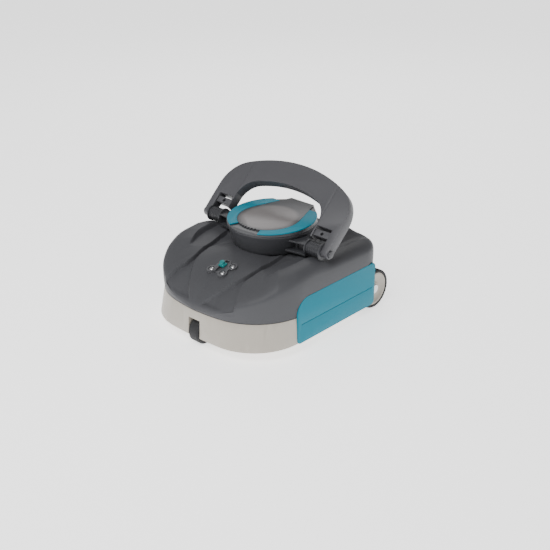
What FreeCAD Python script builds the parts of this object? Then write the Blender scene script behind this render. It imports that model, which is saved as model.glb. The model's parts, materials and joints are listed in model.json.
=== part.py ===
import FreeCAD, Part
import math
import os
import re
import Sketcher

# A cordless pool cleaner. Millimetres, +Z up, nose towards -Y, origin on the floor under the middle.

V = FreeCAD.Vector
UP = V(0, 0, 1)
ALONG_X = FreeCAD.Rotation(V(0, 1, 0), 90)
ALONG_Y = FreeCAD.Rotation(V(1, 0, 0), -90)
SIDES = (("left", -1), ("right", 1))

doc = FreeCAD.newDocument("pool_cleaner")

# ---------------------------------------------------------------- sizes

SIZES = [
    ("half_width", 167, "plan outline, half the width of the body"),
    ("nose_reach", 199, "plan outline, nose to the middle, at the seam"),
    ("tail_reach", 178, "plan outline, middle to the tail"),
    ("hull_bottom", 20.5, "underside of the hull above the floor"),
    ("seam_height", 77, "underside of the dark shell"),
    ("seal_thick", 1.5, "seal between hull and shell"),
    ("deck_height", 154, "deck that the turret stands on"),
    ("skin", 3, "wall of the casings"),
    ("inner_half", 160, "half the width of the hollow inside"),
    ("play", 0.3, "gap between pieces that move past each other"),
    ("run_fit", 0.05, "radial clearance of a shaft in its bore"),
    ("turret_y", 20.4, "turret axis"),
    ("drum_foot", 78.7, "drum radius at the deck"),
    ("drum_rim", 91.2, "drum radius at the rim"),
    ("drum_top", 195.6, "height of the drum's rim"),
    ("drum_bore", 60, "opening in the drum's floor"),
    ("cap_disc", 3.5, "thickness of the cap's rim"),
    ("hood_front", 201.5, "height of the cap's sloping top over its front"),
    ("hood_back", 209.4, "height of the hood at its rear edge"),
    ("hood_edge", 114.2, "rear edge of the hood"),
    ("hood_half", 32, "half the width of that edge"),
    ("face_round", 63.7, "radius of the cap's smooth face"),
    ("face_shift", 9, "that face, forward of the turret axis"),
    ("trim_thick", 2.5, "teal crescents"),
    ("cap_skirt", 85.4, "radius of the cap's skirt inside the drum"),
    ("skirt_deep", 6, "height of that skirt"),
    ("outlet_tall", 6, "height of the jet's outlet"),
    ("gap_half", 24, "half the angle of the gap between the crescents, in degrees"),
    ("hinge_height", 177.6, "handle axis"),
    ("handle_lean", 47, "handle's lean from upright, at rest"),
    ("handle_half", 168, "half the width of the handle"),
    ("handle_apex", 155, "axis to the top of the handle"),
    ("handle_corner", 70, "outer corner radius"),
    ("corner_rise", 64.4, "axis to the centre of the outer corner"),
    ("grip_half", 111, "half the width of the handle's opening"),
    ("grip_apex", 105, "axis to the top of the opening"),
    ("grip_corner", 45, "inner corner radius"),
    ("grip_rise", 49.6, "axis to the centre of the inner corner"),
    ("handle_thick", 22, "handle, front to back"),
    ("handle_joint", 112, "where the grip meets the ends"),
    ("barrel_radius", 13.4, "knuckle barrel"),
    ("barrel_in", 115, "knuckle's inner end"),
    ("barrel_out", 152, "knuckle's outer end"),
    ("flange_radius", 17, "knuckle's flanges"),
    ("pin_radius", 4, "hinge pins"),
    ("tine_boss", 10, "boss at the foot of the outer tine"),
    ("panel_in", 163.5, "inner face of the side covers"),
    ("panel_thick", 5, "side covers"),
    ("panel_front", -90, "front edge of the side covers"),
    ("panel_back", 147, "rear edge of the side covers"),
    ("panel_foot", 18.5, "lower edge of the side covers"),
    ("panel_top", 113, "upper edge of the side covers"),
    ("wheel_radius", 42, "rear wheels"),
    ("wheel_y", 163.5, "rear axle"),
    ("wheel_in", 131, "inner face of the rear wheels"),
    ("wheel_out", 159, "outer face of the rear wheels"),
    ("disc_radius", 35.5, "disc of the rear wheels"),
    ("axle_radius", 5, "rear stub axles"),
    ("roller_radius", 27, "front roller"),
    ("roller_y", -178.5, "front axle"),
    ("roller_half", 13, "half the width of the front roller"),
    ("hub_radius", 20, "hub of the front roller"),
    ("front_axle_radius", 4, "front axle"),
    ("slot_half", 15.5, "half the width of the roller's slot"),
    ("slot_top", 57.6, "top of the roller's slot"),
    ("pad_y", -122, "control pad, middle"),
    ("pad_height", 142.4, "control pad, top face at its middle"),
    ("pad_tilt", 17, "control pad's slope"),
    ("pad_wide", 56, "control pad, across"),
    ("pad_deep", 42, "control pad, front to back"),
    ("pad_thick", 5, "control pad"),
    ("tray_half", 92, "debris tray, half its width"),
    ("tray_front", -110, "debris tray, front edge"),
    ("tray_back", 94, "debris tray, rear edge"),
    ("tray_deep", 24, "debris tray, height of its walls"),
    ("inlet_half", 52, "half the width of the inlet"),
    ("inlet_front", -60, "front of the inlet"),
    ("inlet_back", -32, "rear of the inlet"),
    ("filter_height", 66, "underside of the filter frame"),
    ("bulkhead_height", 84, "underside of the bulkhead"),
    ("motor_radius", 30, "motor can"),
    ("shaft_radius", 4, "motor shaft"),
    ("blade_radius", 52, "impeller"),
    ("charge_height", 106, "charging socket"),
]

sheet = doc.addObject("Spreadsheet::Sheet", "Sizes")
for row, (alias, value, note) in enumerate(SIZES, start=1):
    sheet.set(f"A{row}", note)
    sheet.set(f"B{row}", str(value))
    sheet.setAlias(f"B{row}", alias)
doc.recompute()

SIZE = {alias: float(value) for alias, value, note in SIZES}
NODES = {}


def bound(text):
    """An expression in which every size is looked up in the sheet."""
    return re.sub(r"[a-z_]+", lambda word: f"Sizes.{word[0]}" if word[0] in SIZE else word[0], str(text))


def value(text):
    """The number an expression of sizes comes to."""
    total = doc.getObject("Sizes").evalExpression(bound(text))
    return float(total)


def node(name, item):
    """Registers a finished sub-part under the name of its file."""
    item.Label = name
    NODES[name] = item
    return item


# ---------------------------------------------------------------- primitives

def box(name, x, y, z):
    """A box from three (low, high) pairs of expressions."""
    item = doc.addObject("Part::Box", name)
    for side, (low, high) in zip(("Length", "Width", "Height"), (x, y, z)):
        item.setExpression(side, bound(f"({high}) - ({low})"))
    for way, (low, high) in zip("xyz", (x, y, z)):
        item.setExpression(f"Placement.Base.{way}", bound(low))
    return item


def rod(name, radius, low, high, centre, turn=None):
    """A cylinder from low to high along Z, or along X or Y when turned; centre gives the other two."""
    item = doc.addObject("Part::Cylinder", name)
    item.setExpression("Radius", bound(radius))
    item.setExpression("Height", bound(f"({high}) - ({low})"))
    if turn is not None:
        item.Placement = FreeCAD.Placement(V(), turn)
    if turn is ALONG_X:
        places = (low, centre[0], centre[1])
    elif turn is ALONG_Y:
        places = (centre[0], low, centre[1])
    else:
        places = (centre[0], centre[1], low)
    for way, place in zip("xyz", places):
        item.setExpression(f"Placement.Base.{way}", bound(place))
    return item


def across(name, radius, side, near, far, centre):
    """A cylinder along X on one side of the body, from near to far from the middle plane."""
    low, high = (near, far) if side > 0 else (f"-({far})", f"-({near})")
    return rod(name, radius, low, high, centre, ALONG_X)


def fuse(name, items):
    item = doc.addObject("Part::MultiFuse", name)
    item.Shapes = items
    return item


def cut(name, base, tools):
    item = doc.addObject("Part::Cut", name)
    item.Base = base
    item.Tool = tools[0] if len(tools) == 1 else fuse(f"{name}_tools", tools)
    return item


def common(name, base, tool):
    item = doc.addObject("Part::Common", name)
    item.Base = base
    item.Tool = tool
    return item


def feature(name, shape):
    item = doc.addObject("Part::Feature", name)
    item.Shape = shape
    return item


def group(name, items):
    """Several separate solids in one node."""
    item = doc.addObject("Part::Compound", name)
    item.Links = items
    return item


# ---------------------------------------------------------------- bodies with sketches

def plane(body, role):
    return next(item for item in body.Origin.OriginFeatures if item.Role == role)


def sketch_on(body, role, name, offset=None):
    sketch = body.newObject("Sketcher::SketchObject", name)
    sketch.AttachmentSupport = [(plane(body, role), "")]
    sketch.MapMode = "FlatFace"
    if offset is not None:
        sketch.setExpression("AttachmentOffset.Base.z", bound(offset))
    return sketch


def pin_down(sketch, index, corner, text, way):
    """Holds one corner at a distance from the origin along one axis, bound to the sheet."""
    if abs(value(text)) < 1e-9:
        axis = -2 if way == "X" else -1
        sketch.addConstraint(Sketcher.Constraint("PointOnObject", index, corner, axis))
        return
    number = sketch.addConstraint(
        Sketcher.Constraint(f"Distance{way}", -1, 1, index, corner, value(text)))
    sketch.setExpression(f"Constraints[{number}]", bound(text))


def draw_polygon(sketch, points):
    """A closed outline of straight edges; each corner is a pair of expressions."""
    spots = [V(value(x), value(y), 0) for x, y in points]
    first = sketch.GeometryCount
    for start, end in zip(spots, spots[1:] + spots[:1]):
        sketch.addGeometry(Part.LineSegment(start, end), False)
    count = len(spots)
    for step in range(count):
        after = first + (step + 1) % count
        sketch.addConstraint(Sketcher.Constraint("Coincident", first + step, 2, after, 1))
    for step, (x, y) in enumerate(points):
        pin_down(sketch, first + step, 1, x, "X")
        pin_down(sketch, first + step, 1, y, "Y")


def draw_circle(sketch, radius, x="0", y="0"):
    spot = V(value(x), value(y), 0)
    index = sketch.addGeometry(Part.Circle(spot, UP, value(radius)), False)
    number = sketch.addConstraint(Sketcher.Constraint("Radius", index, value(radius)))
    sketch.setExpression(f"Constraints[{number}]", bound(radius))
    pin_down(sketch, index, 3, x, "X")
    pin_down(sketch, index, 3, y, "Y")


def pad(body, name, sketch, length):
    item = body.newObject("PartDesign::Pad", name)
    item.Profile = sketch
    item.setExpression("Length", bound(length))
    return item


def pocket(body, name, sketch):
    item = body.newObject("PartDesign::Pocket", name)
    item.Profile = sketch
    item.Type = 1
    item.Midplane = True
    return item


def polar(body, name, original, count):
    item = body.newObject("PartDesign::PolarPattern", name)
    item.Originals = [original]
    item.Axis = (next(part for part in body.Origin.OriginFeatures if part.Role == "Z_Axis"), [""])
    item.Angle = 360
    item.Occurrences = count
    body.Tip = item
    return item


def linear(body, name, original, role, length, count):
    item = body.newObject("PartDesign::LinearPattern", name)
    item.Originals = [original]
    item.Direction = (next(part for part in body.Origin.OriginFeatures if part.Role == role), [""])
    item.Length = value(length)
    item.Occurrences = count
    body.Tip = item
    return item


def turned(name, points, placement=None):
    """A body of revolution about its own Z axis; points are (radius, height) pairs."""
    body = doc.addObject("PartDesign::Body", name)
    sketch = sketch_on(body, "XZ_Plane", f"{name}_profile")
    draw_polygon(sketch, points)
    item = body.newObject("PartDesign::Revolution", f"{name}_turn")
    item.Profile = sketch
    item.ReferenceAxis = (sketch, ["V_Axis"])
    item.Angle = 360
    body.Tip = item
    if placement is not None:
        body.Placement = placement
    return body


def place(item, x=None, y=None, z=None, turn=None):
    """Puts a body where expressions say."""
    if turn is not None:
        item.Placement = FreeCAD.Placement(V(), turn)
    for way, text in zip("xyz", (x, y, z)):
        if text is not None:
            item.setExpression(f".Placement.Base.{way}", bound(text))
    return item


def plate(name, points, low, high):
    """A flat plate of straight edges, seen from above."""
    body = doc.addObject("PartDesign::Body", name)
    sketch = sketch_on(body, "XY_Plane", f"{name}_outline", low)
    draw_polygon(sketch, points)
    pad(body, f"{name}_pad", sketch, f"({high}) - ({low})")
    return body


# ---------------------------------------------------------------- casings

def plan_outline(height, front, half, rear, corner, corner_y, tail):
    """Closed plan outline: a flat nose arc, a corner arc each side, straight flanks, rounded tail."""
    corner_x = half - corner
    drop = corner_y - front
    nose = (corner_x ** 2 + drop ** 2 - corner ** 2) / (2 * (drop - corner))
    nose_y = front + nose
    scale = nose / (nose - corner)
    touch_x = corner_x * scale
    touch_y = nose_y + (corner_y - nose_y) * scale
    middle = math.atan2(touch_y - corner_y, touch_x - corner_x) / 2
    diagonal = tail * (1 - math.sqrt(0.5))

    def spot(x, y):
        return V(x, y, height)

    def half_arc(side):
        return Part.Arc(
            spot(side * touch_x, touch_y),
            spot(side * (corner_x + corner * math.cos(middle)), corner_y + corner * math.sin(middle)),
            spot(side * half, corner_y)).toShape()

    def tail_arc(side):
        return Part.Arc(
            spot(side * half, rear - tail),
            spot(side * (half - diagonal), rear - diagonal),
            spot(side * (half - tail), rear)).toShape()

    edges = [
        Part.Arc(spot(-touch_x, touch_y), spot(0, front), spot(touch_x, touch_y)).toShape(),
        half_arc(1),
        Part.makeLine(spot(half, corner_y), spot(half, rear - tail)),
        tail_arc(1),
        Part.makeLine(spot(half - tail, rear), spot(tail - half, rear)),
        tail_arc(-1),
        Part.makeLine(spot(-half, rear - tail), spot(-half, corner_y)),
        half_arc(-1),
    ]
    return Part.Wire(Part.__sortEdges__(edges))


def casing_sections(inset):
    """The dark shell's plan outline at rising heights, moved in by a wall where inset is true."""
    wall = SIZE["skin"] + 1 if inset else 0
    side = SIZE["half_width"] - SIZE["inner_half"] if inset else 0
    roof = SIZE["skin"] if inset else 0
    nose, tail, half = SIZE["nose_reach"], SIZE["tail_reach"], SIZE["half_width"]
    seam, deck = SIZE["seam_height"], SIZE["deck_height"]
    sections = [
        (seam, -nose, half, tail, 125, -70, 60),
        (95, -nose + 11.5, half + 1.5, tail, 112, -70, 60),
        (116, -nose + 33, half + 2, tail, 88, -72, 58),
        (134 - roof / 2, -nose + 56, half - 0.5, tail - 2, 66, -72, 54),
        (deck - 10 - roof, -nose + 86, half - 5, tail - 6, 52, -57, 50),
        (deck - 3 - roof, -nose + 123, half - 12, tail - 11, 50, -22, 48),
        (deck - roof, -nose + 141, half - 20, tail - 17, 60, 6, 45),
    ]
    wires = []
    if inset:
        sections.insert(0, (seam - 1, -nose, half, tail, 125, -70, 60))
    for height, front, width, rear, corner, corner_y, round_tail in sections:
        wires.append(plan_outline(height, front + wall, width - side, rear - roof,
                                  corner - side, corner_y, round_tail))
    return wires


def loft(wires):
    return Part.makeLoft(wires, True, True)


def rear_hump(inset):
    """The raised rear deck behind the turret."""
    wall = SIZE["skin"] if inset else 0
    low, high = SIZE["deck_height"] - 10, SIZE["deck_height"] + 11
    outlines = []
    for height, half, front, rear in ((low, 124, 20, 170), (high, 88, 48, 152)):
        corners = [(-half + wall, front + wall), (half - wall, front + wall),
                   (half - wall, rear - wall), (-half + wall, rear - wall)]
        level = height - wall
        points = [V(x, y, level) for x, y in corners]
        outlines.append(Part.makePolygon(points + points[:1]))
    return loft(outlines)


FENDER_FOOT = ((112, -104), (150, -104), (163, -80), (166, -40), (166, -10), (150, 4), (118, 4), (108, -30))
FENDER_TOP = ((126, -66), (148, -66), (157, -52), (159, -40), (159, -24), (152, -22), (132, -22), (124, -40))
FENDER_HEIGHTS = (148, 165)


def fender(side, inset):
    """The raised shoulder in front of a hinge."""
    wall = SIZE["skin"] if inset else 0
    shrink = 0.9 if inset else 1
    middle_x, middle_y = 140, -44
    outlines = []
    for height, corners in zip(FENDER_HEIGHTS, (FENDER_FOOT, FENDER_TOP)):
        points = []
        for x, y in corners:
            across_x = middle_x + shrink * (x - middle_x)
            along_y = middle_y + shrink * (y - middle_y)
            points.append(V(side * across_x, along_y, height - wall))
        outlines.append(Part.makePolygon(points + points[:1]))
    return loft(outlines)


def side_outline(grow=0.0):
    """Outline of a side cover, seen from the side, as a face at x = 0."""
    front, back = SIZE["panel_front"] - grow, SIZE["panel_back"] + grow
    foot, top = SIZE["panel_foot"] - grow, SIZE["panel_top"] + grow
    big, small = 30, 10
    turn = 1 - math.sqrt(0.5)

    def spot(y, z):
        return V(0, y, z)

    edges = [
        Part.Arc(spot(front + small, foot + 4), spot((front + back) / 2, foot), spot(back - small, foot + 4)),
        Part.Arc(spot(back - small, foot + 4), spot(back - small * turn, foot + 4 + small * turn),
                 spot(back, foot + 4 + small)),
        Part.LineSegment(spot(back, foot + 4 + small), spot(back, top - small)),
        Part.Arc(spot(back, top - small), spot(back - small * turn, top - small * turn),
                 spot(back - small, top)),
        Part.LineSegment(spot(back - small, top), spot(front + big, top)),
        Part.Arc(spot(front + big, top), spot(front + big * turn, top - big * turn), spot(front, top - big)),
        Part.LineSegment(spot(front, top - big), spot(front, foot + 4 + small)),
        Part.Arc(spot(front, foot + 4 + small), spot(front + small * turn, foot + 4 + small * turn),
                 spot(front + small, foot + 4)),
    ]
    return Part.Face(Part.Wire([edge.toShape() for edge in edges]))


def panel_pocket(side):
    face = side_outline(0.5)
    face.translate(V(side * SIZE["panel_in"], 0, 0))
    return face.extrude(V(side * 12, 0, 0))


def wheel_well(side, wall):
    """Space of a rear wheel, with the hull open below and behind it."""
    radius = SIZE["wheel_radius"] + 4 + wall
    start = SIZE["wheel_in"] - 5 - wall
    round_part = Part.makeCylinder(radius, 60, V(side * start, SIZE["wheel_y"], SIZE["wheel_radius"]),
                                   V(side, 0, 0))
    low_x = start if side > 0 else -start - 60
    block = Part.makeBox(60, 80, SIZE["wheel_radius"] + 20,
                         V(low_x, SIZE["wheel_y"] - radius, -20))
    behind = Part.makeBox(60, 60, radius * 2, V(low_x, SIZE["wheel_y"], SIZE["wheel_radius"] - radius))
    return round_part.fuse([block, behind])


def roller_well(wall):
    half = SIZE["slot_half"] + wall
    back = SIZE["roller_y"] + SIZE["roller_radius"] + 3 + wall
    return Part.makeBox(2 * half, back + 230, SIZE["slot_top"] + wall + 20, V(-half, -230, -20))


PAD_SCREWS = ((-15, -15), (15, -15), (20, 9))
SCREW_SPOTS = [(side * x, y) for side in (-1, 1) for x, y in ((156, -40), (156, 70), (62, -173), (70, 167))]
SCREW_RADIUS = 2
SCREW_TOP = 92


def post(x, y, low, high, radius=8.5):
    return Part.makeCylinder(radius, high - low, V(x, y, low))


def hull_body():
    """The pale lower casing."""
    bottom, top = SIZE["hull_bottom"], SIZE["seam_height"] - SIZE["seal_thick"]
    nose, half, rear = SIZE["nose_reach"], SIZE["half_width"], SIZE["tail_reach"]
    inner, skin = SIZE["inner_half"], SIZE["skin"]
    wells = [wheel_well(side, 0) for _, side in SIDES] + [roller_well(0)]
    walls = [wheel_well(side, skin) for _, side in SIDES] + [roller_well(skin)]
    outer = loft([plan_outline(bottom, -nose - 3, half, rear - 2, 110, -90, 56),
                  plan_outline(top, -nose, half, rear, 125, -70, 60)])
    hollow = loft([plan_outline(bottom + skin, -nose + 1, inner, rear - 5, 103, -90, 53),
                   plan_outline(top + 1, -nose + 4, inner, rear - 3, 118, -70, 57)])
    shape = outer.cut(hollow.cut(walls[0].fuse(walls[1:])))
    posts = [post(x, y, bottom, top) for x, y in SCREW_SPOTS]
    shape = shape.fuse([item.common(outer) for item in posts])
    tray_gap = 2.0
    opening = Part.makeBox(2 * (SIZE["tray_half"] + 1),
                           SIZE["tray_back"] - SIZE["tray_front"] + 2 * tray_gap + 16,
                           20, V(-SIZE["tray_half"] - 1, SIZE["tray_front"] - tray_gap, bottom - 5))
    screws = [Part.makeCylinder(SCREW_RADIUS, 80, V(x, y, bottom - 5)) for x, y in SCREW_SPOTS]
    heads = [Part.makeCylinder(4.5, 30, V(x, y, bottom - 5)) for x, y in SCREW_SPOTS]
    pockets = [panel_pocket(side) for _, side in SIDES]
    axles = [Part.makeCylinder(SIZE["axle_radius"], 300,
                               V(-150, SIZE["wheel_y"], SIZE["wheel_radius"]), V(1, 0, 0)),
             Part.makeCylinder(SIZE["front_axle_radius"], 60, V(-30, SIZE["roller_y"], SIZE["roller_radius"]),
                               V(1, 0, 0))]
    shape = shape.cut(wells[0].fuse(wells[1:] + [opening] + screws + heads + pockets + axles))
    lugs = [Part.makeBox(8, 20, 12, V(x, SIZE["tray_back"] + 3, bottom)) for x in (-84, 76)]
    pin = Part.makeCylinder(2, 200, V(-100, SIZE["tray_back"] + 9, bottom + 6), V(1, 0, 0))
    return shape.fuse(lugs).cut(pin).removeSplitter()


def shell_body():
    """The dark upper casing."""
    seam, deck = SIZE["seam_height"], SIZE["deck_height"]
    turret = V(0, SIZE["turret_y"], 0)
    clear = Part.makeCylinder(SIZE["drum_rim"] + 4, 80, turret + V(0, 0, deck))
    raised = [rear_hump(False)] + [fender(side, False) for _, side in SIDES]
    outer = loft(casing_sections(False)).fuse(raised).cut(clear)
    roof = Part.makeCylinder(SIZE["drum_rim"] + 4, 80, turret + V(0, 0, deck - SIZE["skin"]))
    above = Part.makeCylinder(SIZE["drum_rim"] + 7, 80, turret + V(0, 0, deck - SIZE["skin"]))
    hollow = loft(casing_sections(True)).fuse(
        [rear_hump(True).cut(roof.fuse(above))] + [fender(side, True).cut(above) for _, side in SIDES])
    posts = [post(x, y, seam, SCREW_TOP + 6).common(outer) for x, y in SCREW_SPOTS]
    shape = outer.cut(hollow).fuse(posts)
    tools = [wheel_well(side, 0) for _, side in SIDES] + [panel_pocket(side) for _, side in SIDES]
    deep = SCREW_TOP - seam + 10
    tools += [Part.makeCylinder(SCREW_RADIUS, deep, V(x, y, seam - 10)) for x, y in SCREW_SPOTS]
    tools += [Part.makeCylinder(SIZE["drum_bore"], 40, turret + V(0, 0, deck - 20)),
              Part.makeCylinder(9, 20, V(0, SIZE["tail_reach"] - 10, SIZE["charge_height"]), V(0, 1, 0)),
              pad_block(0, 20), pad_hollow()]
    return shape.cut(tools[0].fuse(tools[1:])).removeSplitter()


def pad_frame():
    return FreeCAD.Placement(V(0, SIZE["pad_y"], SIZE["pad_height"]),
                             FreeCAD.Rotation(V(1, 0, 0), SIZE["pad_tilt"]))


def pad_block(grow, above):
    """The control pad's own volume, reaching a given height above its face."""
    wide, deep, thick = SIZE["pad_wide"] + 2 * grow, SIZE["pad_deep"] + 2 * grow, SIZE["pad_thick"]
    block = Part.makeBox(wide, deep, thick + above, V(-wide / 2, -deep / 2, -thick))
    block.Placement = pad_frame().multiply(block.Placement)
    return block


def pad_hollow():
    """Room under the control pad for the slider's foot and the screws."""
    tools = [Part.makeBox(18, 36, 14, V(-9, -20, -14))]
    tools += [Part.makeCylinder(2.2, 14, V(x, y, -14)) for x, y in PAD_SCREWS]
    hollow = tools[0].fuse(tools[1:])
    hollow.Placement = pad_frame()
    return hollow


def seal_ring():
    low, high = SIZE["seam_height"] - SIZE["seal_thick"], SIZE["seam_height"]
    nose, half, rear = SIZE["nose_reach"], SIZE["half_width"], SIZE["tail_reach"]
    outer = Part.Face(plan_outline(low, -nose + 1, half - 1, rear - 1, 124, -70, 59))
    inner = Part.Face(plan_outline(low, -nose + 4, SIZE["inner_half"], rear - 3, 118, -70, 57))
    ring = outer.cut(inner).extrude(V(0, 0, high - low))
    tools = [wheel_well(side, 0) for _, side in SIDES] + [panel_pocket(side) for _, side in SIDES]
    tools += [Part.makeCylinder(SCREW_RADIUS, 10, V(x, y, low - 4)) for x, y in SCREW_SPOTS]
    return ring.cut(tools[0].fuse(tools[1:]))


def make_casings():
    node("lower_hull", feature("lower_hull", hull_body()))
    node("upper_shell", feature("upper_shell", shell_body()))
    node("shell_seal", feature("shell_seal", seal_ring()))
    for name, side in SIDES:
        face = side_outline()
        face.translate(V(side * SIZE["panel_in"], 0, 0))
        cover = face.extrude(V(side * SIZE["panel_thick"], 0, 0))
        rim = [edge for edge in cover.Edges
               if abs(edge.BoundBox.XMin - edge.BoundBox.XMax) < 1e-6
               and abs(abs(edge.BoundBox.XMin) - SIZE["panel_in"] - SIZE["panel_thick"]) < 1e-6]
        node(f"side_panel_{name}", feature(f"side_panel_{name}", cover.makeFillet(1.5, rim)))
    screws = []
    for number, (x, y) in enumerate(SCREW_SPOTS):
        shank = rod(f"screw_shank_{number}", SCREW_RADIUS, "hull_bottom + 25", SCREW_TOP, (x, y))
        head = rod(f"screw_head_{number}", 4, "hull_bottom + 22", "hull_bottom + 25", (x, y))
        screws.append(fuse(f"hull_screw_{number}", [shank, head]))
    node("hull_screws", group("hull_screws", screws))


# ---------------------------------------------------------------- turret and cap

ARM_SCREWS = (8, 20)
ARM_SCREW_HEIGHT = 176


def make_turret():
    drum = turned("turret_drum", [
        ("drum_bore", "deck_height"), ("drum_foot", "deck_height"),
        ("drum_rim", "drum_top - 2"), ("drum_rim", "drum_top"),
        ("86", "drum_top"), ("86", "drum_top - 2.5"),
        ("drum_rim - 3", "drum_top - 3.5"), ("drum_foot - 3", "deck_height + skin"),
        ("drum_bore", "deck_height + skin")])
    place(drum, "0", "turret_y", "0")
    holes = []
    for name, side in SIDES:
        for y in ARM_SCREWS:
            holes.append(across(f"drum_hole_{name}_{y}", 2, side, 74, 93, (y, ARM_SCREW_HEIGHT)))
    node("turret_drum", cut("turret_drum_drilled", drum, holes))


def bracket_cone():
    """The drum's outside, as the shape that the arms lean on."""
    foot, rim = SIZE["drum_foot"], SIZE["drum_rim"]
    low, high = SIZE["deck_height"], SIZE["drum_top"] - 2
    return Part.makeCone(foot, rim, high - low, V(0, SIZE["turret_y"], low))


def bracket_body(side):
    """An arm of two flanges and a web, ending in the knuckle barrel."""
    axis = SIZE["hinge_height"]
    neck = 14
    near, tip = SIZE["barrel_in"] - 8.5, SIZE["barrel_in"] + 2
    plan = [(70, -20), (near, -neck), (tip, -neck), (tip, neck), (near, neck), (70, 40)]
    points = [V(side * x, y, 0) for x, y in plan]
    face = Part.Face(Part.makePolygon(points + points[:1]))
    solids = []
    for low, high in ((162.6, 166.6), (184.6, 187.6)):
        flange = face.extrude(V(0, 0, high - low))
        flange.translate(V(0, 0, low))
        solids.append(flange)
    root = Part.makeBox(14, 30, 19, V(74 if side > 0 else -88, -2, 166.1))
    web = Part.makeBox(34, 4, 19, V(84 if side > 0 else -118, 2, 166.1))
    barrel = Part.makeCylinder(SIZE["barrel_radius"], SIZE["barrel_out"] - SIZE["barrel_in"],
                               V(side * SIZE["barrel_in"], 0, axis), V(side, 0, 0))
    rims = [Part.makeCylinder(SIZE["flange_radius"], 3, V(side * start, 0, axis), V(side, 0, 0))
            for start in (SIZE["barrel_in"], SIZE["barrel_out"] - 3)]
    ribs = [Part.makeCylinder(SIZE["barrel_radius"] + 0.8, 1.6, V(side * (SIZE["barrel_in"] + start), 0, axis),
                              V(side, 0, 0)) for start in (7, 11.5, 16, 20.5, 25, 29.5)]
    bore = Part.makeCylinder(SIZE["pin_radius"] + SIZE["run_fit"], 80, V(side * 105, 0, axis), V(side, 0, 0))
    screws = [Part.makeCylinder(2, 30, V(side * 70, y, ARM_SCREW_HEIGHT), V(side, 0, 0)) for y in ARM_SCREWS]
    body = solids[0].fuse(solids[1:] + [root, web, barrel] + rims + ribs)
    return body.cut(bracket_cone().fuse([bore] + screws)).removeSplitter()


def make_brackets():
    screws = []
    for name, side in SIDES:
        node(f"bracket_{name}", feature(f"bracket_{name}", bracket_body(side)))
        for y in ARM_SCREWS:
            shank = across(f"arm_shank_{name}_{y}", 2, side, 78, 90, (y, ARM_SCREW_HEIGHT))
            head = across(f"arm_head_{name}_{y}", 4, side, 75, 78, (y, ARM_SCREW_HEIGHT))
            screws.append(fuse(f"arm_screw_{name}_{y}", [shank, head]))
    node("bracket_screws", group("bracket_screws", screws))


def teardrop(radius, centre_y, half, edge):
    """Plan of a disc drawn out by tangents to a straight rear edge."""
    reach = edge - centre_y
    touch = math.atan2(reach, half) - math.acos(radius / math.hypot(half, reach))
    x, y = radius * math.cos(touch), centre_y + radius * math.sin(touch)
    disc = Part.Face(Part.Wire(Part.makeCircle(radius, V(0, centre_y, 0))))
    points = [V(-x, y, 0), V(-half, edge, 0), V(half, edge, 0), V(x, y, 0)]
    return disc.fuse(Part.Face(Part.makePolygon(points + points[:1]))).removeSplitter()


def upright(face, low, tall):
    solid = face.extrude(V(0, 0, tall))
    solid.translate(V(0, 0, low))
    return solid


def cap_plan(inset):
    return teardrop(SIZE["drum_rim"] - inset, SIZE["turret_y"],
                    SIZE["hood_half"] - inset, SIZE["hood_edge"] - inset)


def face_plan(inset):
    """Plan of the cap's smooth face and the hood behind it, between the crescents."""
    return teardrop(SIZE["face_round"] - inset, SIZE["turret_y"] - SIZE["face_shift"],
                    SIZE["hood_half"] - 2 - inset, SIZE["hood_edge"] - inset)


def front_gap():
    """The wedge at the front of the cap that the crescents leave free."""
    centre = V(0, SIZE["turret_y"], 0)
    reach = 2 * SIZE["drum_rim"]
    wide, far = (reach * turn(math.radians(SIZE["gap_half"])) for turn in (math.sin, math.cos))
    corners = [centre, centre + V(-wide, -far, 0), centre + V(wide, -far, 0)]
    return Part.Face(Part.makePolygon(corners + corners[:1]))


def above_hood(drop):
    """Everything above the cap's sloping top, lowered by a wall."""
    front = SIZE["turret_y"] - SIZE["drum_rim"]
    slope = math.degrees(math.atan2(SIZE["hood_back"] - SIZE["hood_front"], SIZE["hood_edge"] - front))
    block = Part.makeBox(300, 400, 100, V(-150, -100, 0))
    block.Placement = FreeCAD.Placement(V(0, front, SIZE["hood_front"] - drop),
                                        FreeCAD.Rotation(V(1, 0, 0), slope))
    return block


def cap_body():
    low = SIZE["drum_top"] + SIZE["play"]
    high = low + SIZE["cap_disc"]
    centre = V(0, SIZE["turret_y"], 0)
    ring = Part.makeCylinder(SIZE["drum_rim"], high - low, centre + V(0, 0, low))
    radius, deep = SIZE["cap_skirt"], SIZE["skirt_deep"]
    foot = centre + V(0, 0, low - deep)
    skirt = Part.makeCylinder(radius, deep, foot).fuse(Part.makeCylinder(radius + 1.4, 1.5, foot))
    inner_skirt = Part.makeCylinder(radius - SIZE["skin"], deep, foot)
    top = upright(cap_plan(1).cut(front_gap().cut(face_plan(0))), low, 30).cut(above_hood(0))
    pockets = upright(cap_plan(-5).cut(face_plan(-0.3)), low, 60).common(above_hood(SIZE["trim_thick"] + 0.1))
    inside = upright(face_plan(3), low - 5, 40).cut(above_hood(3))
    half = SIZE["hood_half"] - 4
    outlet = Part.makeBox(2 * half, 30, SIZE["outlet_tall"], V(-half, SIZE["hood_edge"] - 15, high + 0.4))
    body = ring.fuse(skirt).cut(inner_skirt).fuse(top).cut(inside).cut(outlet).cut(pockets)
    middle = V(0, SIZE["turret_y"] - SIZE["face_shift"], 0)
    notches = []
    for step in range(6):
        notch = Part.makeBox(3, 5, 6, V(-1.5, -SIZE["face_round"] - 1.5, 0))
        notch.rotate(V(), UP, -17.5 + 7 * step)
        notch.translate(middle + V(0, 0, high))
        notches.append(notch)
    return body.cut(notches[0].fuse(notches[1:])).removeSplitter()


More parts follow.
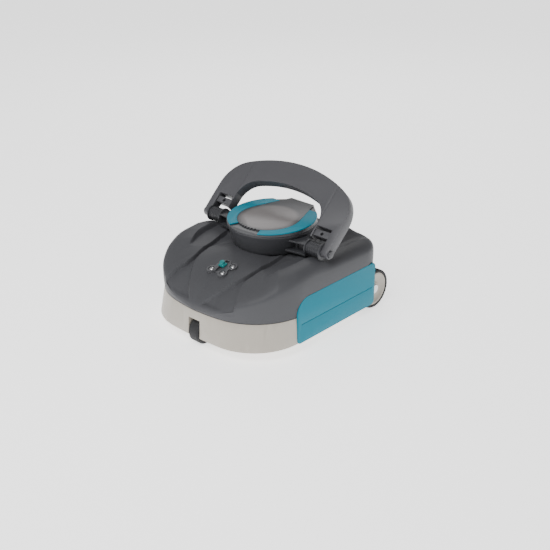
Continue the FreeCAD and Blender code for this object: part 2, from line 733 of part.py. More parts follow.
def crescent(side):
    """A teal crescent round the face, from the front gap to the hood's rear corner."""
    low = SIZE["drum_top"]
    plan = cap_plan(1).cut(face_plan(-0.6)).cut(front_gap())
    other = Part.makeBox(200, 300, 60, V(0 if side < 0 else -200, -100, low))
    body = upright(plan, low, 60).common(above_hood(SIZE["trim_thick"])).cut(above_hood(-0.4)).cut(other)
    return max(body.Solids, key=lambda solid: solid.Volume)


def make_cap():
    node("nozzle_cap", feature("nozzle_cap", cap_body()))
    for name, side in SIDES:
        node(f"cap_trim_{name}", feature(f"cap_trim_{name}", crescent(side)))
    low = "drum_top + play - 2.4"
    seal = cut("cap_seal", rod("seal_rim", 82.4, low, "drum_top + play", (0, "turret_y")),
               [rod("seal_bore", 79, f"{low} - 1", "drum_top + play + 1", (0, "turret_y"))])
    node("cap_seal", seal)
    floor = "drum_top + play + cap_disc + 0.4"
    outer = box("duct_outer", ("4 - hood_half", "hood_half - 4"), ("hood_edge - 14", "hood_edge + 1"),
                (floor, f"{floor} + outlet_tall - 0.2"))
    inner = box("duct_inner", ("5.5 - hood_half", "hood_half - 5.5"), ("hood_edge - 20", "hood_edge + 5"),
                (f"{floor} + 0.7", f"{floor} + outlet_tall - 0.9"))
    node("jet_nozzle", cut("jet_nozzle", outer, [inner]))


# ---------------------------------------------------------------- handle

def arch_face(half, apex, corner, rise):
    """An arch standing on the hinge axis: flat crown arc, corner arcs, straight legs."""
    flat = plan_outline(0, -apex, half, 40, corner, -rise, 20)
    arch = Part.Face(flat)
    arch.rotate(V(), V(1, 0, 0), -90)
    keep = Part.makeBox(600, 20, 400, V(-300, -10, -30))
    return arch.common(keep)


def handle_frame():
    return FreeCAD.Placement(V(0, 0, SIZE["hinge_height"]), FreeCAD.Rotation(V(1, 0, 0), -SIZE["handle_lean"]))


def arch_solid(half, apex, corner, rise, thick):
    solid = arch_face(half, apex, corner, rise).extrude(V(0, thick, 0))
    solid.translate(V(0, -thick / 2, 0))
    return solid


def handle_blank():
    thick = SIZE["handle_thick"]
    outer = arch_solid(SIZE["handle_half"], SIZE["handle_apex"], SIZE["handle_corner"],
                       SIZE["corner_rise"], thick)
    inner = arch_solid(SIZE["grip_half"], SIZE["grip_apex"], SIZE["grip_corner"], SIZE["grip_rise"], thick + 4)
    return outer.cut(inner)


def leaned(name, shape):
    item = feature(name, shape)
    item.Placement = handle_frame()
    return item


def handle_end_body(side):
    """A leg of the handle with its outer tine, inner rail and the gap for the lock between them."""
    thick, joint = SIZE["handle_thick"], SIZE["handle_joint"]
    low_x = joint if side > 0 else -joint - 80
    upper = handle_blank().common(Part.makeBox(80, 60, 200, V(low_x, -30, 44)))
    foot_in = SIZE["grip_half"]
    foot = SIZE["handle_half"] - foot_in
    half, boss = thick / 2, SIZE["tine_boss"]
    profile = [(boss, 0), (half, 30), (half, 44), (-half, 44), (-half, 30), (-boss, 0)]
    points = [V(foot_in if side > 0 else -SIZE["handle_half"], y, z) for y, z in profile]
    lower = Part.Face(Part.makePolygon(points + points[:1])).extrude(V(foot, 0, 0))
    corner = Part.makeBox(joint - foot_in, thick, 12, V(foot_in if side > 0 else -joint, -thick / 2, 43))
    tine = SIZE["barrel_out"] + SIZE["play"]
    rail = SIZE["barrel_in"] - SIZE["play"]
    slot = Part.makeBox(tine - rail, 60, 44, V(rail if side > 0 else -tine, -30, 0))
    short = Part.makeBox(rail, 60, 18.6, V(0 if side > 0 else -rail, -30, -0.1))
    eye = Part.makeCylinder(boss, SIZE["handle_half"] - tine, V(side * tine, 0, 0), V(side, 0, 0))
    bore = Part.makeCylinder(SIZE["pin_radius"], 80, V(side * 140, 0, 0), V(side, 0, 0))
    corner = corner.common(arch_solid(SIZE["handle_half"], SIZE["handle_apex"], SIZE["handle_corner"],
                                      SIZE["corner_rise"], thick))
    return upper.fuse([lower, corner]).cut(slot.fuse(short)).fuse(eye).cut(bore).removeSplitter()


def make_handle():
    joint = SIZE["handle_joint"]
    blank = handle_blank().common(Part.makeBox(2 * joint, 60, 200, V(-joint, -30, 0)))
    middle = blank.common(Part.makeBox(2 * joint, 60, 200, V(-joint, -30, 55)))
    channel = arch_solid(300, SIZE["handle_apex"] - 6, 68, SIZE["corner_rise"], 20).cut(
        arch_solid(SIZE["grip_half"] + 6, SIZE["grip_apex"] + 6, SIZE["grip_corner"] + 6,
                   SIZE["grip_rise"], 40))
    channel.translate(V(0, 18, 0))
    channel = channel.common(Part.makeBox(2 * joint - 12, 60, 200, V(6 - joint, -30, 55)))
    node("handle_grip", leaned("handle_grip", middle.cut(channel).removeSplitter()))
    for name, side in SIDES:
        node(f"handle_end_{name}", leaned(f"handle_end_{name}", handle_end_body(side)))
        shank = across(f"pin_shank_{name}", "pin_radius", side, "barrel_in + 2", "handle_half",
                       (0, "hinge_height"))
        head = across(f"pin_head_{name}", 7.5, side, "handle_half", "handle_half + 3.6", (0, "hinge_height"))
        node(f"hinge_pin_{name}", fuse(f"hinge_pin_{name}", [shank, head]))
        near, far = SIZE["barrel_in"] + 0.1, SIZE["barrel_out"] - 0.1
        block = Part.makeBox(far - near, 18, 13, V(near if side > 0 else -far, -9, 24))
        hole = Part.makeCylinder(3.5, 40, V(side * (near + far) / 2, -20, 30.5), V(0, 1, 0))
        node(f"lock_slider_{name}", leaned(f"lock_slider_{name}", block.cut(hole)))


# ---------------------------------------------------------------- control pad

def pad_item(name, shape):
    item = feature(name, shape)
    item.Placement = pad_frame().multiply(item.Placement)
    return item


def make_pad():
    wide, deep, thick = SIZE["pad_wide"], SIZE["pad_deep"], SIZE["pad_thick"]
    slab = Part.makeBox(wide, deep, thick, V(-wide / 2, -deep / 2, -thick))
    slot = Part.makeBox(7, 26, 20, V(-3.5, -16, -10))
    holes = [Part.makeCylinder(1.8, 20, V(x, y, -10)) for x, y in PAD_SCREWS]
    node("switch_plate", pad_item("switch_plate", slab.cut(slot.fuse(holes))))
    screws = [Part.makeCylinder(4.2, 1.6, V(x, y, 0)).fuse(Part.makeCylinder(1.8, 9, V(x, y, -9)))
              for x, y in PAD_SCREWS]
    node("plate_screws", pad_item("plate_screws", Part.makeCompound(screws)))
    gap = SIZE["play"]
    knob = Part.makeBox(14, 12, 3, V(-7, -3, gap)).fuse([
        Part.makeCylinder(5, 7, V(0, 3, gap + 2)),
        Part.makeBox(6, 8, thick + 2 * gap + 0.2, V(-3, -1, -thick - gap - 0.1)),
        Part.makeBox(12, 11, 1.6, V(-6, -2.5, -thick - gap - 1.6))])
    node("power_slider", pad_item("power_slider", knob))


# ---------------------------------------------------------------- wheels

def make_wheels():
    span = "wheel_out - wheel_in"
    for name, side in SIDES:
        start = "wheel_in" if side > 0 else "-wheel_in"
        turn = FreeCAD.Rotation(V(0, 1, 0), 90 * side)
        tyre = turned(f"wheel_tyre_{name}", [
            ("disc_radius", "0"), ("wheel_radius - 2", "0"), ("wheel_radius", "3"),
            ("wheel_radius", f"{span} - 3"), ("wheel_radius - 2", span), ("disc_radius", span)])
        disc = turned(f"wheel_disc_{name}", [
            ("axle_radius + run_fit", "0"), ("14", "0"), ("14", "8"), ("disc_radius - 4", "8"),
            ("disc_radius - 4", "1"), ("disc_radius", "1"), ("disc_radius", f"{span} - 1"),
            ("disc_radius - 4", f"{span} - 1"), ("disc_radius - 8", f"{span} - 4"), ("16", f"{span} - 6"),
            ("12", f"{span} - 3"), ("axle_radius + run_fit", f"{span} - 3")])
        for item in (tyre, disc):
            place(item, start, "wheel_y", "wheel_radius", turn)
        node(f"wheel_tyre_{name}", tyre)
        node(f"wheel_disc_{name}", disc)
        centre = ("wheel_y", "wheel_radius")
        axle = fuse(f"wheel_axle_{name}", [
            across(f"axle_shank_{name}", "axle_radius", side, "wheel_in - 12", "wheel_out - 2", centre),
            across(f"axle_flange_{name}", 7, side, "wheel_in - 12", "wheel_in - 8", centre),
            across(f"axle_collar_{name}", 8, side, "wheel_in - 5", "wheel_in - play", centre),
            across(f"axle_cap_{name}", 9, side, "wheel_out - 3 + play", "wheel_out", centre)])
        node(f"wheel_axle_{name}", axle)
    centre = ("roller_y", "roller_radius")
    hub = cut("front_hub", rod("hub_disc", "hub_radius", "-roller_half", "roller_half", centre, ALONG_X),
              [rod("hub_bore", "front_axle_radius + run_fit", -30, 30, centre, ALONG_X)])
    node("front_hub", hub)
    tyre = turned("front_tyre", [
        ("hub_radius", "-roller_half"), ("roller_radius - 2.5", "-roller_half"),
        ("roller_radius", "3 - roller_half"), ("roller_radius", "roller_half - 3"),
        ("roller_radius - 2.5", "roller_half"), ("hub_radius", "roller_half")])
    node("front_tyre", place(tyre, "0", "roller_y", "roller_radius", ALONG_X))
    node("front_axle", rod("front_axle", "front_axle_radius", "-slot_half - skin", "slot_half + skin",
                           centre, ALONG_X))


# ---------------------------------------------------------------- debris tray and filter

def tray_body():
    half, front, back = SIZE["tray_half"], SIZE["tray_front"], SIZE["tray_back"]
    bottom, skin, deep = SIZE["hull_bottom"], SIZE["skin"], SIZE["tray_deep"]
    floor = Part.makeBox(2 * half, back - front, skin, V(-half, front, bottom))
    rim = Part.makeBox(2 * half - 6, back - front - 6, deep, V(3 - half, front + 3, bottom))
    hollow = Part.makeBox(2 * half - 11, back - front - 11, deep, V(5.5 - half, front + 5.5, bottom + skin))
    inlet = Part.makeBox(2 * SIZE["inlet_half"], SIZE["inlet_back"] - SIZE["inlet_front"], 20,
                         V(-SIZE["inlet_half"], SIZE["inlet_front"], bottom - 8))
    ears = [Part.makeBox(10, 12, 7, V(x, back - 1, bottom)) for x in (-74, 64)]
    knuckles = [Part.makeCylinder(4.5, 10, V(x, back + 9, bottom + 6), V(1, 0, 0)) for x in (-74, 64)]
    lift = [Part.makeBox(10, 12, 6, V(x, back - 2, bottom + 1)) for x in (-74, 64)]
    pin = Part.makeCylinder(2 + SIZE["run_fit"], 200, V(-100, back + 9, bottom + 6), V(1, 0, 0))
    posts = [Part.makeBox(4, 8, 9, V(x, SIZE["inlet_front"] - 10, bottom + skin - 0.5))
             for x in (-SIZE["inlet_half"] - 9, SIZE["inlet_half"] + 5)]
    flap_pin = Part.makeCylinder(1.5, 200, V(-100, SIZE["inlet_front"] - 6, bottom + skin + 4.2), V(1, 0, 0))
    body = floor.fuse(rim).cut(hollow).fuse(ears + knuckles + lift + posts)
    return body.cut(inlet.fuse([pin, flap_pin])).removeSplitter()


def make_tray():
    node("filter_tray", feature("filter_tray", tray_body()))
    axis = ("tray_back + 9", "hull_bottom + 6")
    node("tray_pin", rod("tray_pin", 2, -84, 84, axis, ALONG_X))
    flap_axis = ("inlet_front - 6", "hull_bottom + skin + 4.2")
    leaf = box("flap_leaf", ("-inlet_half - 3", "inlet_half + 3"), ("inlet_front - 4", "inlet_back + 4"),
               ("hull_bottom + skin + play", "hull_bottom + skin + 2.3"))
    curl = rod("flap_curl", 3.2, "-inlet_half - 3", "inlet_half + 3", flap_axis, ALONG_X)
    bore = rod("flap_bore", "1.5 + run_fit", -80, 80, flap_axis, ALONG_X)
    node("inlet_flap", cut("inlet_flap", fuse("flap_blank", [leaf, curl]), [bore]))
    node("flap_pin", rod("flap_pin", 1.5, "-inlet_half - 9", "inlet_half + 9", flap_axis, ALONG_X))


def make_filter():
    body = doc.addObject("PartDesign::Body", "filter_frame")
    outline = sketch_on(body, "XY_Plane", "frame_outline", "filter_height")
    half, low, high = "tray_half + 8", "tray_front - 6", "tray_back + 8"
    draw_polygon(outline, [(f"-({half})", low), (half, low), (half, high), (f"-({half})", high)])
    pad(body, "frame_pad", outline, "4")
    doc.recompute()
    window = sketch_on(body, "XY_Plane", "frame_window", "filter_height")
    inner, near, far = "tray_half - 2", "tray_front + 4", "tray_back - 2"
    draw_polygon(window, [(f"-({inner})", near), (inner, near), (inner, far), (f"-({inner})", far)])
    pocket(body, "frame_pocket", window)
    node("filter_frame", body)
    mesh = doc.addObject("PartDesign::Body", "filter_mesh")
    sheet_outline = sketch_on(mesh, "XY_Plane", "mesh_outline", "filter_height + 1")
    draw_polygon(sheet_outline, [(f"-({inner})", near), (inner, near), (inner, far), (f"-({inner})", far)])
    pad(mesh, "mesh_pad", sheet_outline, "1")
    doc.recompute()
    slit = sketch_on(mesh, "XY_Plane", "mesh_slit", "filter_height + 1")
    draw_polygon(slit, [("-tray_half + 8", f"{near} + 5"), ("tray_half - 8", f"{near} + 5"),
                        ("tray_half - 8", f"{near} + 9"), ("-tray_half + 8", f"{near} + 9")])
    first = pocket(mesh, "mesh_pocket", slit)
    linear(mesh, "mesh_slits", first, "Y_Axis", "tray_back - tray_front - 24", 22)
    node("filter_mesh", mesh)
    struts = [box(f"strut_{name}_{tag}", (x0, x1), (y0, y1), ("filter_height + 4", "bulkhead_height"))
              for name, x0, x1 in (("left", "-tray_half - 6", "-tray_half + 2"),
                                   ("right", "tray_half - 2", "tray_half + 6"))
              for tag, y0, y1 in (("front", "tray_front - 4", "tray_front + 4"),
                                  ("back", "tray_back - 2", "tray_back + 6"))]
    node("filter_struts", group("filter_struts", struts))


# ---------------------------------------------------------------- pump and electrics

def make_bulkhead():
    low = SIZE["bulkhead_height"]
    face = Part.Face(plan_outline(low, -SIZE["nose_reach"] + 16, SIZE["inner_half"] - 1, SIZE["tail_reach"] - 5,
                                  117, -58, 56))
    floor = face.extrude(V(0, 0, 3))
    tools = [wheel_well(side, SIZE["skin"] + 0.3) for _, side in SIDES]
    tools += [post(x, y, 60, 120) for x, y in SCREW_SPOTS]
    for side in (-1, 1):
        tools.append(Part.makeBox(50, 120, 20, V(60 if side > 0 else -110, -38, low - 5)))
    tools.append(Part.makeBox(80, 26, 20, V(-40, 80, low - 5)))
    node("bulkhead", feature("bulkhead", floor.cut(tools[0].fuse(tools[1:]))))


def make_pump():
    top = "deck_height - skin"
    base = doc.addObject("PartDesign::Body", "pump_base")
    rim = sketch_on(base, "XY_Plane", "rim_outline", f"{top} - 3")
    draw_circle(rim, "drum_bore + 10")
    draw_circle(rim, "drum_bore - 2")
    pad(base, "rim_pad", rim, "3")
    cup = sketch_on(base, "XY_Plane", "cup_outline", f"{top} - 3")
    draw_circle(cup, "motor_radius + 3")
    draw_circle(cup, "10")
    pad(base, "cup_pad", cup, "3")
    spoke = sketch_on(base, "XY_Plane", "spoke_outline", f"{top} - 3")
    draw_polygon(spoke, [("motor_radius", "-3"), ("drum_bore", "-3"),
                         ("drum_bore", "3"), ("motor_radius", "3")])
    first = pad(base, "spoke_pad", spoke, "3")
    polar(base, "spokes", first, 6)
    node("pump_base", place(base, "0", "turret_y", "0"))
    centre = (0, "turret_y")
    node("motor_can", cut("motor_can",
                          rod("can_outer", "motor_radius", "bulkhead_height + 3", f"{top} - 3", centre),
                          [rod("can_bore", "shaft_radius + run_fit", "deck_height - 20", "deck_height", centre)]))
    seal = cut("motor_seal", rod("seal_ring", 10, f"{top} - 3", f"{top} + 1.5", centre),
               [rod("seal_hole", "shaft_radius + run_fit", "deck_height - 10", "deck_height + 5", centre)])
    node("motor_seal", seal)
    node("motor_shaft", rod("motor_shaft", "shaft_radius", "deck_height - 19", "deck_height + 31", centre))


def make_impeller():
    body = doc.addObject("PartDesign::Body", "impeller")
    hub = sketch_on(body, "XY_Plane", "hub_outline", "deck_height + 6")
    draw_circle(hub, "12")
    draw_circle(hub, "shaft_radius")
    pad(body, "hub_pad", hub, "22")
    disc = sketch_on(body, "XY_Plane", "disc_outline", "deck_height + 6")
    draw_circle(disc, "30")
    draw_circle(disc, "11")
    pad(body, "disc_pad", disc, "2")
    blade = sketch_on(body, "XY_Plane", "blade_outline", "deck_height + 6")
    draw_polygon(blade, [("11", "-2"), ("30", "-6"), ("blade_radius - 1", "-14"), ("blade_radius - 3", "-17"),
                         ("30", "-9"), ("10", "-5")])
    first = pad(body, "blade_pad", blade, "18")
    polar(body, "blades", first, 7)
    node("impeller", place(body, "0", "turret_y", "0"))


def make_electrics():
    floor = "bulkhead_height + 3"
    case = cut("dry_box", box("case_outer", (-76, 76), (-112, -52), (floor, f"{floor} + 32")),
               [box("case_inner", (-73, 73), (-109, -55), (f"{floor} + 3", f"{floor} + 40"))])
    node("dry_box", case)
    lid = fuse("dry_box_lid", [box("lid_top", (-76, 76), (-112, -52), (f"{floor} + 32", f"{floor} + 34")),
                               box("lid_plug", (-72, 72), (-108, -56), (f"{floor} + 30", f"{floor} + 32"))])
    node("dry_box_lid", lid)
    cells = [rod(f"cell_{number}", 8.8, -69.5, 0, (y, f"{floor} + 12.4"), ALONG_X)
             for number, y in enumerate((-99.8, -82, -64.2))]
    sleeve = box("cell_tray", (-70, 0), (-108.5, -55.5), (f"{floor} + 3", f"{floor} + 6"))
    node("battery_pack", fuse("battery_pack", cells + [sleeve]))
    board = box("board", (6, 70), (-104, -60), (f"{floor} + 7", f"{floor} + 8.6"))
    chips = [box(f"chip_{number}", (x, x + wide), (y, y + deep), (f"{floor} + 8.6", f"{floor} + 8.6 + {tall}"))
             for number, (x, y, wide, deep, tall) in enumerate(
                 ((12, -100, 14, 14, 3), (34, -98, 8, 10, 9), (50, -96, 12, 20, 5), (14, -78, 20, 10, 4)))]
    feet = [rod(f"board_foot_{number}", 2.5, f"{floor} + 3", f"{floor} + 7", (x, y))
            for number, (x, y) in enumerate(((10, -100), (66, -100), (10, -64), (66, -64)))]
    node("control_board", fuse("control_board", [board] + chips + feet))
    centre = (0, "charge_height")
    wall = "tail_reach"
    socket = cut("charge_socket",
                 fuse("socket_blank", [rod("socket_tube", 9, f"{wall} - 16", f"{wall} + 1", centre, ALONG_Y),
                                       box("socket_plate", (-13, 13), (wall, f"{wall} + 1.5"),
                                           ("charge_height - 13", "charge_height + 20"))]),
                 [rod("socket_hole", 5.5, f"{wall} - 12", f"{wall} + 5", centre, ALONG_Y)])
    node("charge_socket", socket)
    cap_low = f"{wall} + 1.5 + play"
    lobe = box("cap_lobe", (-4, 4), (cap_low, f"{cap_low} + 4"), ("charge_height", "charge_height + 16"))
    disc = rod("cap_disc_solid", 10.5, cap_low, f"{cap_low} + 4", centre, ALONG_Y)
    axis = (f"{cap_low} + 2", "charge_height + 16")
    curl = rod("cap_curl", 2, -4, 4, axis, ALONG_X)
    hole = rod("cap_hole", "1.2 + run_fit", -10, 10, axis, ALONG_X)
    node("charge_cap", cut("charge_cap", fuse("cap_blank", [lobe, disc, curl]), [hole]))
    ears = [box(f"cap_ear_{number}", (low, low + 3), (f"{wall} + 1.5", f"{cap_low} + 4.6"),
                ("charge_height + 13", "charge_height + 19")) for number, low in enumerate((-7.5, 4.5))]
    pin = rod("cap_pin_rod", 1.2, -7.5, 7.5, axis, ALONG_X)
    node("charge_cap_hinge", fuse("charge_cap_hinge", ears + [pin]))


make_casings()
make_turret()
make_brackets()
make_cap()
make_handle()
make_pad()
make_wheels()
make_tray()
make_filter()
make_bulkhead()
make_pump()
make_impeller()
make_electrics()
doc.recompute()

# ---------------------------------------------------------------- check and write

for item in doc.Objects:
    if "Invalid" in item.State or "Error" in item.State:
        raise RuntimeError(f"{item.Label} failed: {item.State}")
os.makedirs("parts", exist_ok=True)
for name, item in NODES.items():
    shape = item.Shape
    if shape.isNull() or not shape.isValid() or not shape.Solids:
        raise RuntimeError(f"{name} has no valid shape")
for name, item in NODES.items():
    item.Shape.exportStep(f"parts/{name}.step")
    box_of = item.Shape.BoundBox
    print(f"{name:20s} solids {len(item.Shape.Solids)} volume {item.Shape.Volume:10.0f} "
          f"x {box_of.XMin:7.1f} {box_of.XMax:7.1f} y {box_of.YMin:7.1f} {box_of.YMax:7.1f} "
          f"z {box_of.ZMin:7.1f} {box_of.ZMax:7.1f}")
print(len(NODES), "nodes")
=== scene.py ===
"""Looks of a cordless robotic pool cleaner, built around its CAD frame."""
import json
import math

import bmesh
import bpy
import numpy as np
from mathutils import Matrix, Vector


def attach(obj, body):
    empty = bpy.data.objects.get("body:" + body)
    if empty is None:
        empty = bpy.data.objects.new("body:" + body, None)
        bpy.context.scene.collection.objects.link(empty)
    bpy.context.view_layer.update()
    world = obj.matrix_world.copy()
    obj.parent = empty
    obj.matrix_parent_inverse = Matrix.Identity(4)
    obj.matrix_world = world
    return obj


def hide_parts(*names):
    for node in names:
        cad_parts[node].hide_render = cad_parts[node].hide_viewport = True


bl_info = {
    "name": "Pool Cleaner",
    "version": (1, 0, 0),
    "blender": (4, 5, 0),
    "location": "3D View > Sidebar > Pool Cleaner",
    "description": "Builds the casing, turret, handle, wheels and finishes of a robotic pool cleaner",
    "category": "Object",
}

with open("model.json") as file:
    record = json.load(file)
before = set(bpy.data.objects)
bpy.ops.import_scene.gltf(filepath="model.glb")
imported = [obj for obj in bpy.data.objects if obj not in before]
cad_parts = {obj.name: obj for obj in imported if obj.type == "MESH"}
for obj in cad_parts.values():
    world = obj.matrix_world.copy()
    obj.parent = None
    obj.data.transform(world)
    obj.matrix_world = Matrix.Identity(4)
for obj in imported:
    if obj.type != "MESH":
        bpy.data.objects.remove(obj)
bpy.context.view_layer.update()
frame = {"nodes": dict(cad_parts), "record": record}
MM = 0.001
SIDES = (("left", -1), ("right", 1))
TURRET = Vector((0, 20.4, 0))
HEART = Vector((0, 30.7, 0))
FACE_CENTRE = (0, TURRET.y - 9, 0)
FACE_RADIUS = 63.7


# ---------------------------------------------------------------- settings

class CleanerSizes(bpy.types.PropertyGroup):
    wall: bpy.props.FloatProperty(
        name="Casing wall", description="Thickness of the dark casing", default=3 * MM, unit="LENGTH")
    edge: bpy.props.FloatProperty(
        name="Edge rounding", description="Rounding of moulded edges", default=0.8 * MM, unit="LENGTH")
    handle_edge: bpy.props.FloatProperty(
        name="Handle rounding", description="Rounding of the handle's edges", default=2.2 * MM, unit="LENGTH")
    groove: bpy.props.FloatProperty(
        name="Bonnet groove", description="Depth of the grooves beside the bonnet", default=8.5 * MM,
        unit="LENGTH")
    tread_blocks: bpy.props.IntProperty(
        name="Tread blocks", description="Blocks round a rear tyre", default=30)


class CleanerColours(bpy.types.PropertyGroup):
    casing: bpy.props.FloatVectorProperty(
        name="Casing", description="Dark grey casing", subtype="COLOR", default=(0.066, 0.067, 0.073))
    handle: bpy.props.FloatVectorProperty(
        name="Handle", description="Grey handle", subtype="COLOR", default=(0.070, 0.070, 0.077))
    drum: bpy.props.FloatVectorProperty(
        name="Drum", description="Turret drum", subtype="COLOR", default=(0.040, 0.041, 0.046))
    cap: bpy.props.FloatVectorProperty(
        name="Cap", description="Warm grey cap", subtype="COLOR", default=(0.170, 0.155, 0.153))
    hull: bpy.props.FloatVectorProperty(
        name="Hull", description="Pale hull and wheel discs", subtype="COLOR", default=(0.430, 0.395, 0.340))
    teal: bpy.props.FloatVectorProperty(
        name="Teal", description="Teal covers and trims", subtype="COLOR", default=(0.000, 0.185, 0.260))
    rubber: bpy.props.FloatVectorProperty(
        name="Rubber", description="Tyres, seals and flaps", subtype="COLOR", default=(0.018, 0.018, 0.020))
    steel: bpy.props.FloatVectorProperty(
        name="Steel", description="Screws, pins and axles", subtype="COLOR", default=(0.620, 0.620, 0.630))


class CleanerView(bpy.types.PropertyGroup):
    azimuth: bpy.props.FloatProperty(
        name="Azimuth", description="Camera to the right of straight ahead", default=math.radians(42.7),
        subtype="ANGLE")
    elevation: bpy.props.FloatProperty(
        name="Elevation", description="Camera above level", default=math.radians(25.6), subtype="ANGLE")
    distance: bpy.props.FloatProperty(
        name="Distance", description="Camera to its target", default=1.92, unit="LENGTH")
    target: bpy.props.FloatVectorProperty(
        name="Target", description="Point the camera looks at", default=(0, 0.0287, 0.0702),
        subtype="TRANSLATION")
    lens: bpy.props.FloatProperty(
        name="Lens", description="Focal length on a 36 mm sensor", default=60.66)
    key: bpy.props.FloatProperty(name="Key light", description="Power of the main light", default=34.0)
    fill: bpy.props.FloatProperty(name="Fill light", description="Power of the side light", default=1.5)
    back: bpy.props.FloatProperty(name="Back light", description="Power of the rear light", default=14.0)
    sky: bpy.props.FloatProperty(name="Sky", description="Strength of the surroundings", default=0.42)


def sizes():
    return bpy.context.scene.cleaner_sizes


def colours():
    return bpy.context.scene.cleaner_colours


# ---------------------------------------------------------------- modelling helpers

def mm(*point):
    return tuple(c * MM for c in point)


def across(side, near, far):
    """Low and high x of a span that lies off the middle, on one side."""
    return sorted((side * near, side * far))


def calm():
    """Object mode, nothing selected."""
    if bpy.context.object and bpy.context.object.mode != "OBJECT":
        bpy.ops.object.mode_set(mode="OBJECT")
    bpy.ops.object.select_all(action="DESELECT")


def pick(obj):
    calm()
    obj.select_set(True)
    bpy.context.view_layer.objects.active = obj
    return obj


def settle(obj):
    """The object goes to the origin, unturned, with its place in its mesh."""
    pick(obj)
    bpy.ops.object.transform_apply(location=True, rotation=True, scale=True)
    return obj


def named(name):
    obj = bpy.context.object
    obj.name = name
    obj.data.name = name
    return obj


def block(name, low, high):
    """A box between two corners, in millimetres."""
    calm()
    middle = [(a + b) / 2 * MM for a, b in zip(low, high)]
    bpy.ops.mesh.primitive_cube_add(size=1, location=middle)
    obj = named(name)
    obj.scale = [(b - a) * MM for a, b in zip(low, high)]
    return settle(obj)


def drum_shape(name, radius, length, centre, axis="Z", sides=64):
    """A cylinder centred at a point, in millimetres."""
    calm()
    turn = {"X": (0, math.pi / 2, 0), "Y": (math.pi / 2, 0, 0), "Z": (0, 0, 0)}[axis]
    bpy.ops.mesh.primitive_cylinder_add(
        vertices=sides, radius=radius * MM, depth=length * MM, location=mm(*centre), rotation=turn)
    return settle(named(name))


def lathe(name, profile, centre, axis="Z", steps=96):
    """A closed profile of (radius, height) points spun round an axis through a point."""
    calm()
    outward, along = {"Z": ((1, 0, 0), (0, 0, 1)), "X": ((0, 0, 1), (1, 0, 0))}[axis]
    middle = Vector(centre)
    points = [(middle + Vector(outward) * r + Vector(along) * h) * MM for r, h in profile]
    mesh = bpy.data.meshes.new(name)
    edges = [(i, (i + 1) % len(points)) for i in range(len(points))]
    mesh.from_pydata(points, edges, [])
    obj = bpy.data.objects.new(name, mesh)
    bpy.context.scene.collection.objects.link(obj)
    pick(obj)
    bpy.ops.object.mode_set(mode="EDIT")
    bpy.ops.mesh.select_all(action="SELECT")
    bpy.ops.mesh.spin(steps=steps, angle=2 * math.pi, center=middle * MM, axis=along)
    bpy.ops.mesh.select_all(action="SELECT")
    bpy.ops.mesh.remove_doubles(threshold=1e-6)
    bpy.ops.mesh.normals_make_consistent(inside=False)
    bpy.ops.object.mode_set(mode="OBJECT")
    return obj


def choose_edges(obj, test):
    """In edit mode, selects the edges whose middle, in millimetres, and run pass the test."""
    bpy.ops.mesh.select_mode(type="EDGE")
    bpy.ops.mesh.select_all(action="DESELECT")
    mesh = bmesh.from_edit_mesh(obj.data)
    for edge in mesh.edges:
        start, end = (vert.co for vert in edge.verts)
        if test((start + end) / 2 / MM, end - start):
            edge.select_set(True)
    bmesh.update_edit_mesh(obj.data)


def edit(obj):
    pick(obj)
    bpy.ops.object.mode_set(mode="EDIT")


def modify(obj, kind, **settings):
    """A modifier, applied."""
    pick(obj)
    bpy.ops.object.modifier_add(type=kind)
    modifier = obj.modifiers[-1]
    for name, value in settings.items():
        setattr(modifier, name, value)
    bpy.ops.object.modifier_apply(modifier=modifier.name)
    return obj


def carve(obj, cutters, operation="DIFFERENCE"):
    """Boolean of the object with each cutter, which is removed."""
    for cutter in cutters:
        modify(obj, "BOOLEAN", object=cutter, operation=operation, solver="EXACT")
        bpy.data.objects.remove(cutter)
    return obj


def soften(obj, width, segments=2, angle=35):
    return modify(obj, "BEVEL", width=width, segments=segments, limit_method="ANGLE",
                  angle_limit=math.radians(angle), use_clamp_overlap=True, harden_normals=False)


def moulded(node, width, segments=2, angle=35):
    """A CAD node's own shape with its edges rounded as a mould leaves them."""
    calm()
    source = frame["nodes"][node]
    obj = bpy.data.objects.new(f"{node}_moulded", source.data.copy())
    obj.data.name = obj.name
    bpy.context.scene.collection.objects.link(obj)
    edit(obj)
    bpy.ops.mesh.select_all(action="SELECT")
    bpy.ops.mesh.customdata_custom_splitnormals_clear()
    bpy.ops.mesh.remove_doubles(threshold=1e-6)
    bpy.ops.mesh.dissolve_limited(angle_limit=math.radians(0.8))
    bpy.ops.object.mode_set(mode="OBJECT")
    if width:
        soften(obj, width, segments, angle)
    return obj


def join(first, others):
    pick(first)
    for other in others:
        other.select_set(True)
    bpy.ops.object.join()
    return first


def dress(obj, finish):
    obj.data.materials.clear()
    obj.data.materials.append(finish)


def done(obj, body, finish, nodes=(), angle=32):
    """The piece is smooth-shaded, gets its finish, rides on its body and stands for its CAD nodes."""
    settle(obj)
    bpy.ops.object.shade_smooth_by_angle(angle=math.radians(angle))
    dress(obj, finish)
    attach(obj, body)
    if nodes:
        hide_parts(*nodes)
    return obj


# ---------------------------------------------------------------- finishes

def new_finish(name):
    finish = bpy.data.materials.get(name)
    if finish:
        return finish, None, None
    finish = bpy.data.materials.new(name)
    finish.use_nodes = True
    return finish, finish.node_tree, finish.node_tree.nodes["Principled BSDF"]


def texture(tree, kind, place, **inputs):
    node = tree.nodes.new(kind)
    tree.links.new(place.outputs["Object"], node.inputs["Vector"])
    for name, value in inputs.items():
        node.inputs[name.replace("_", " ")].default_value = value
    return node


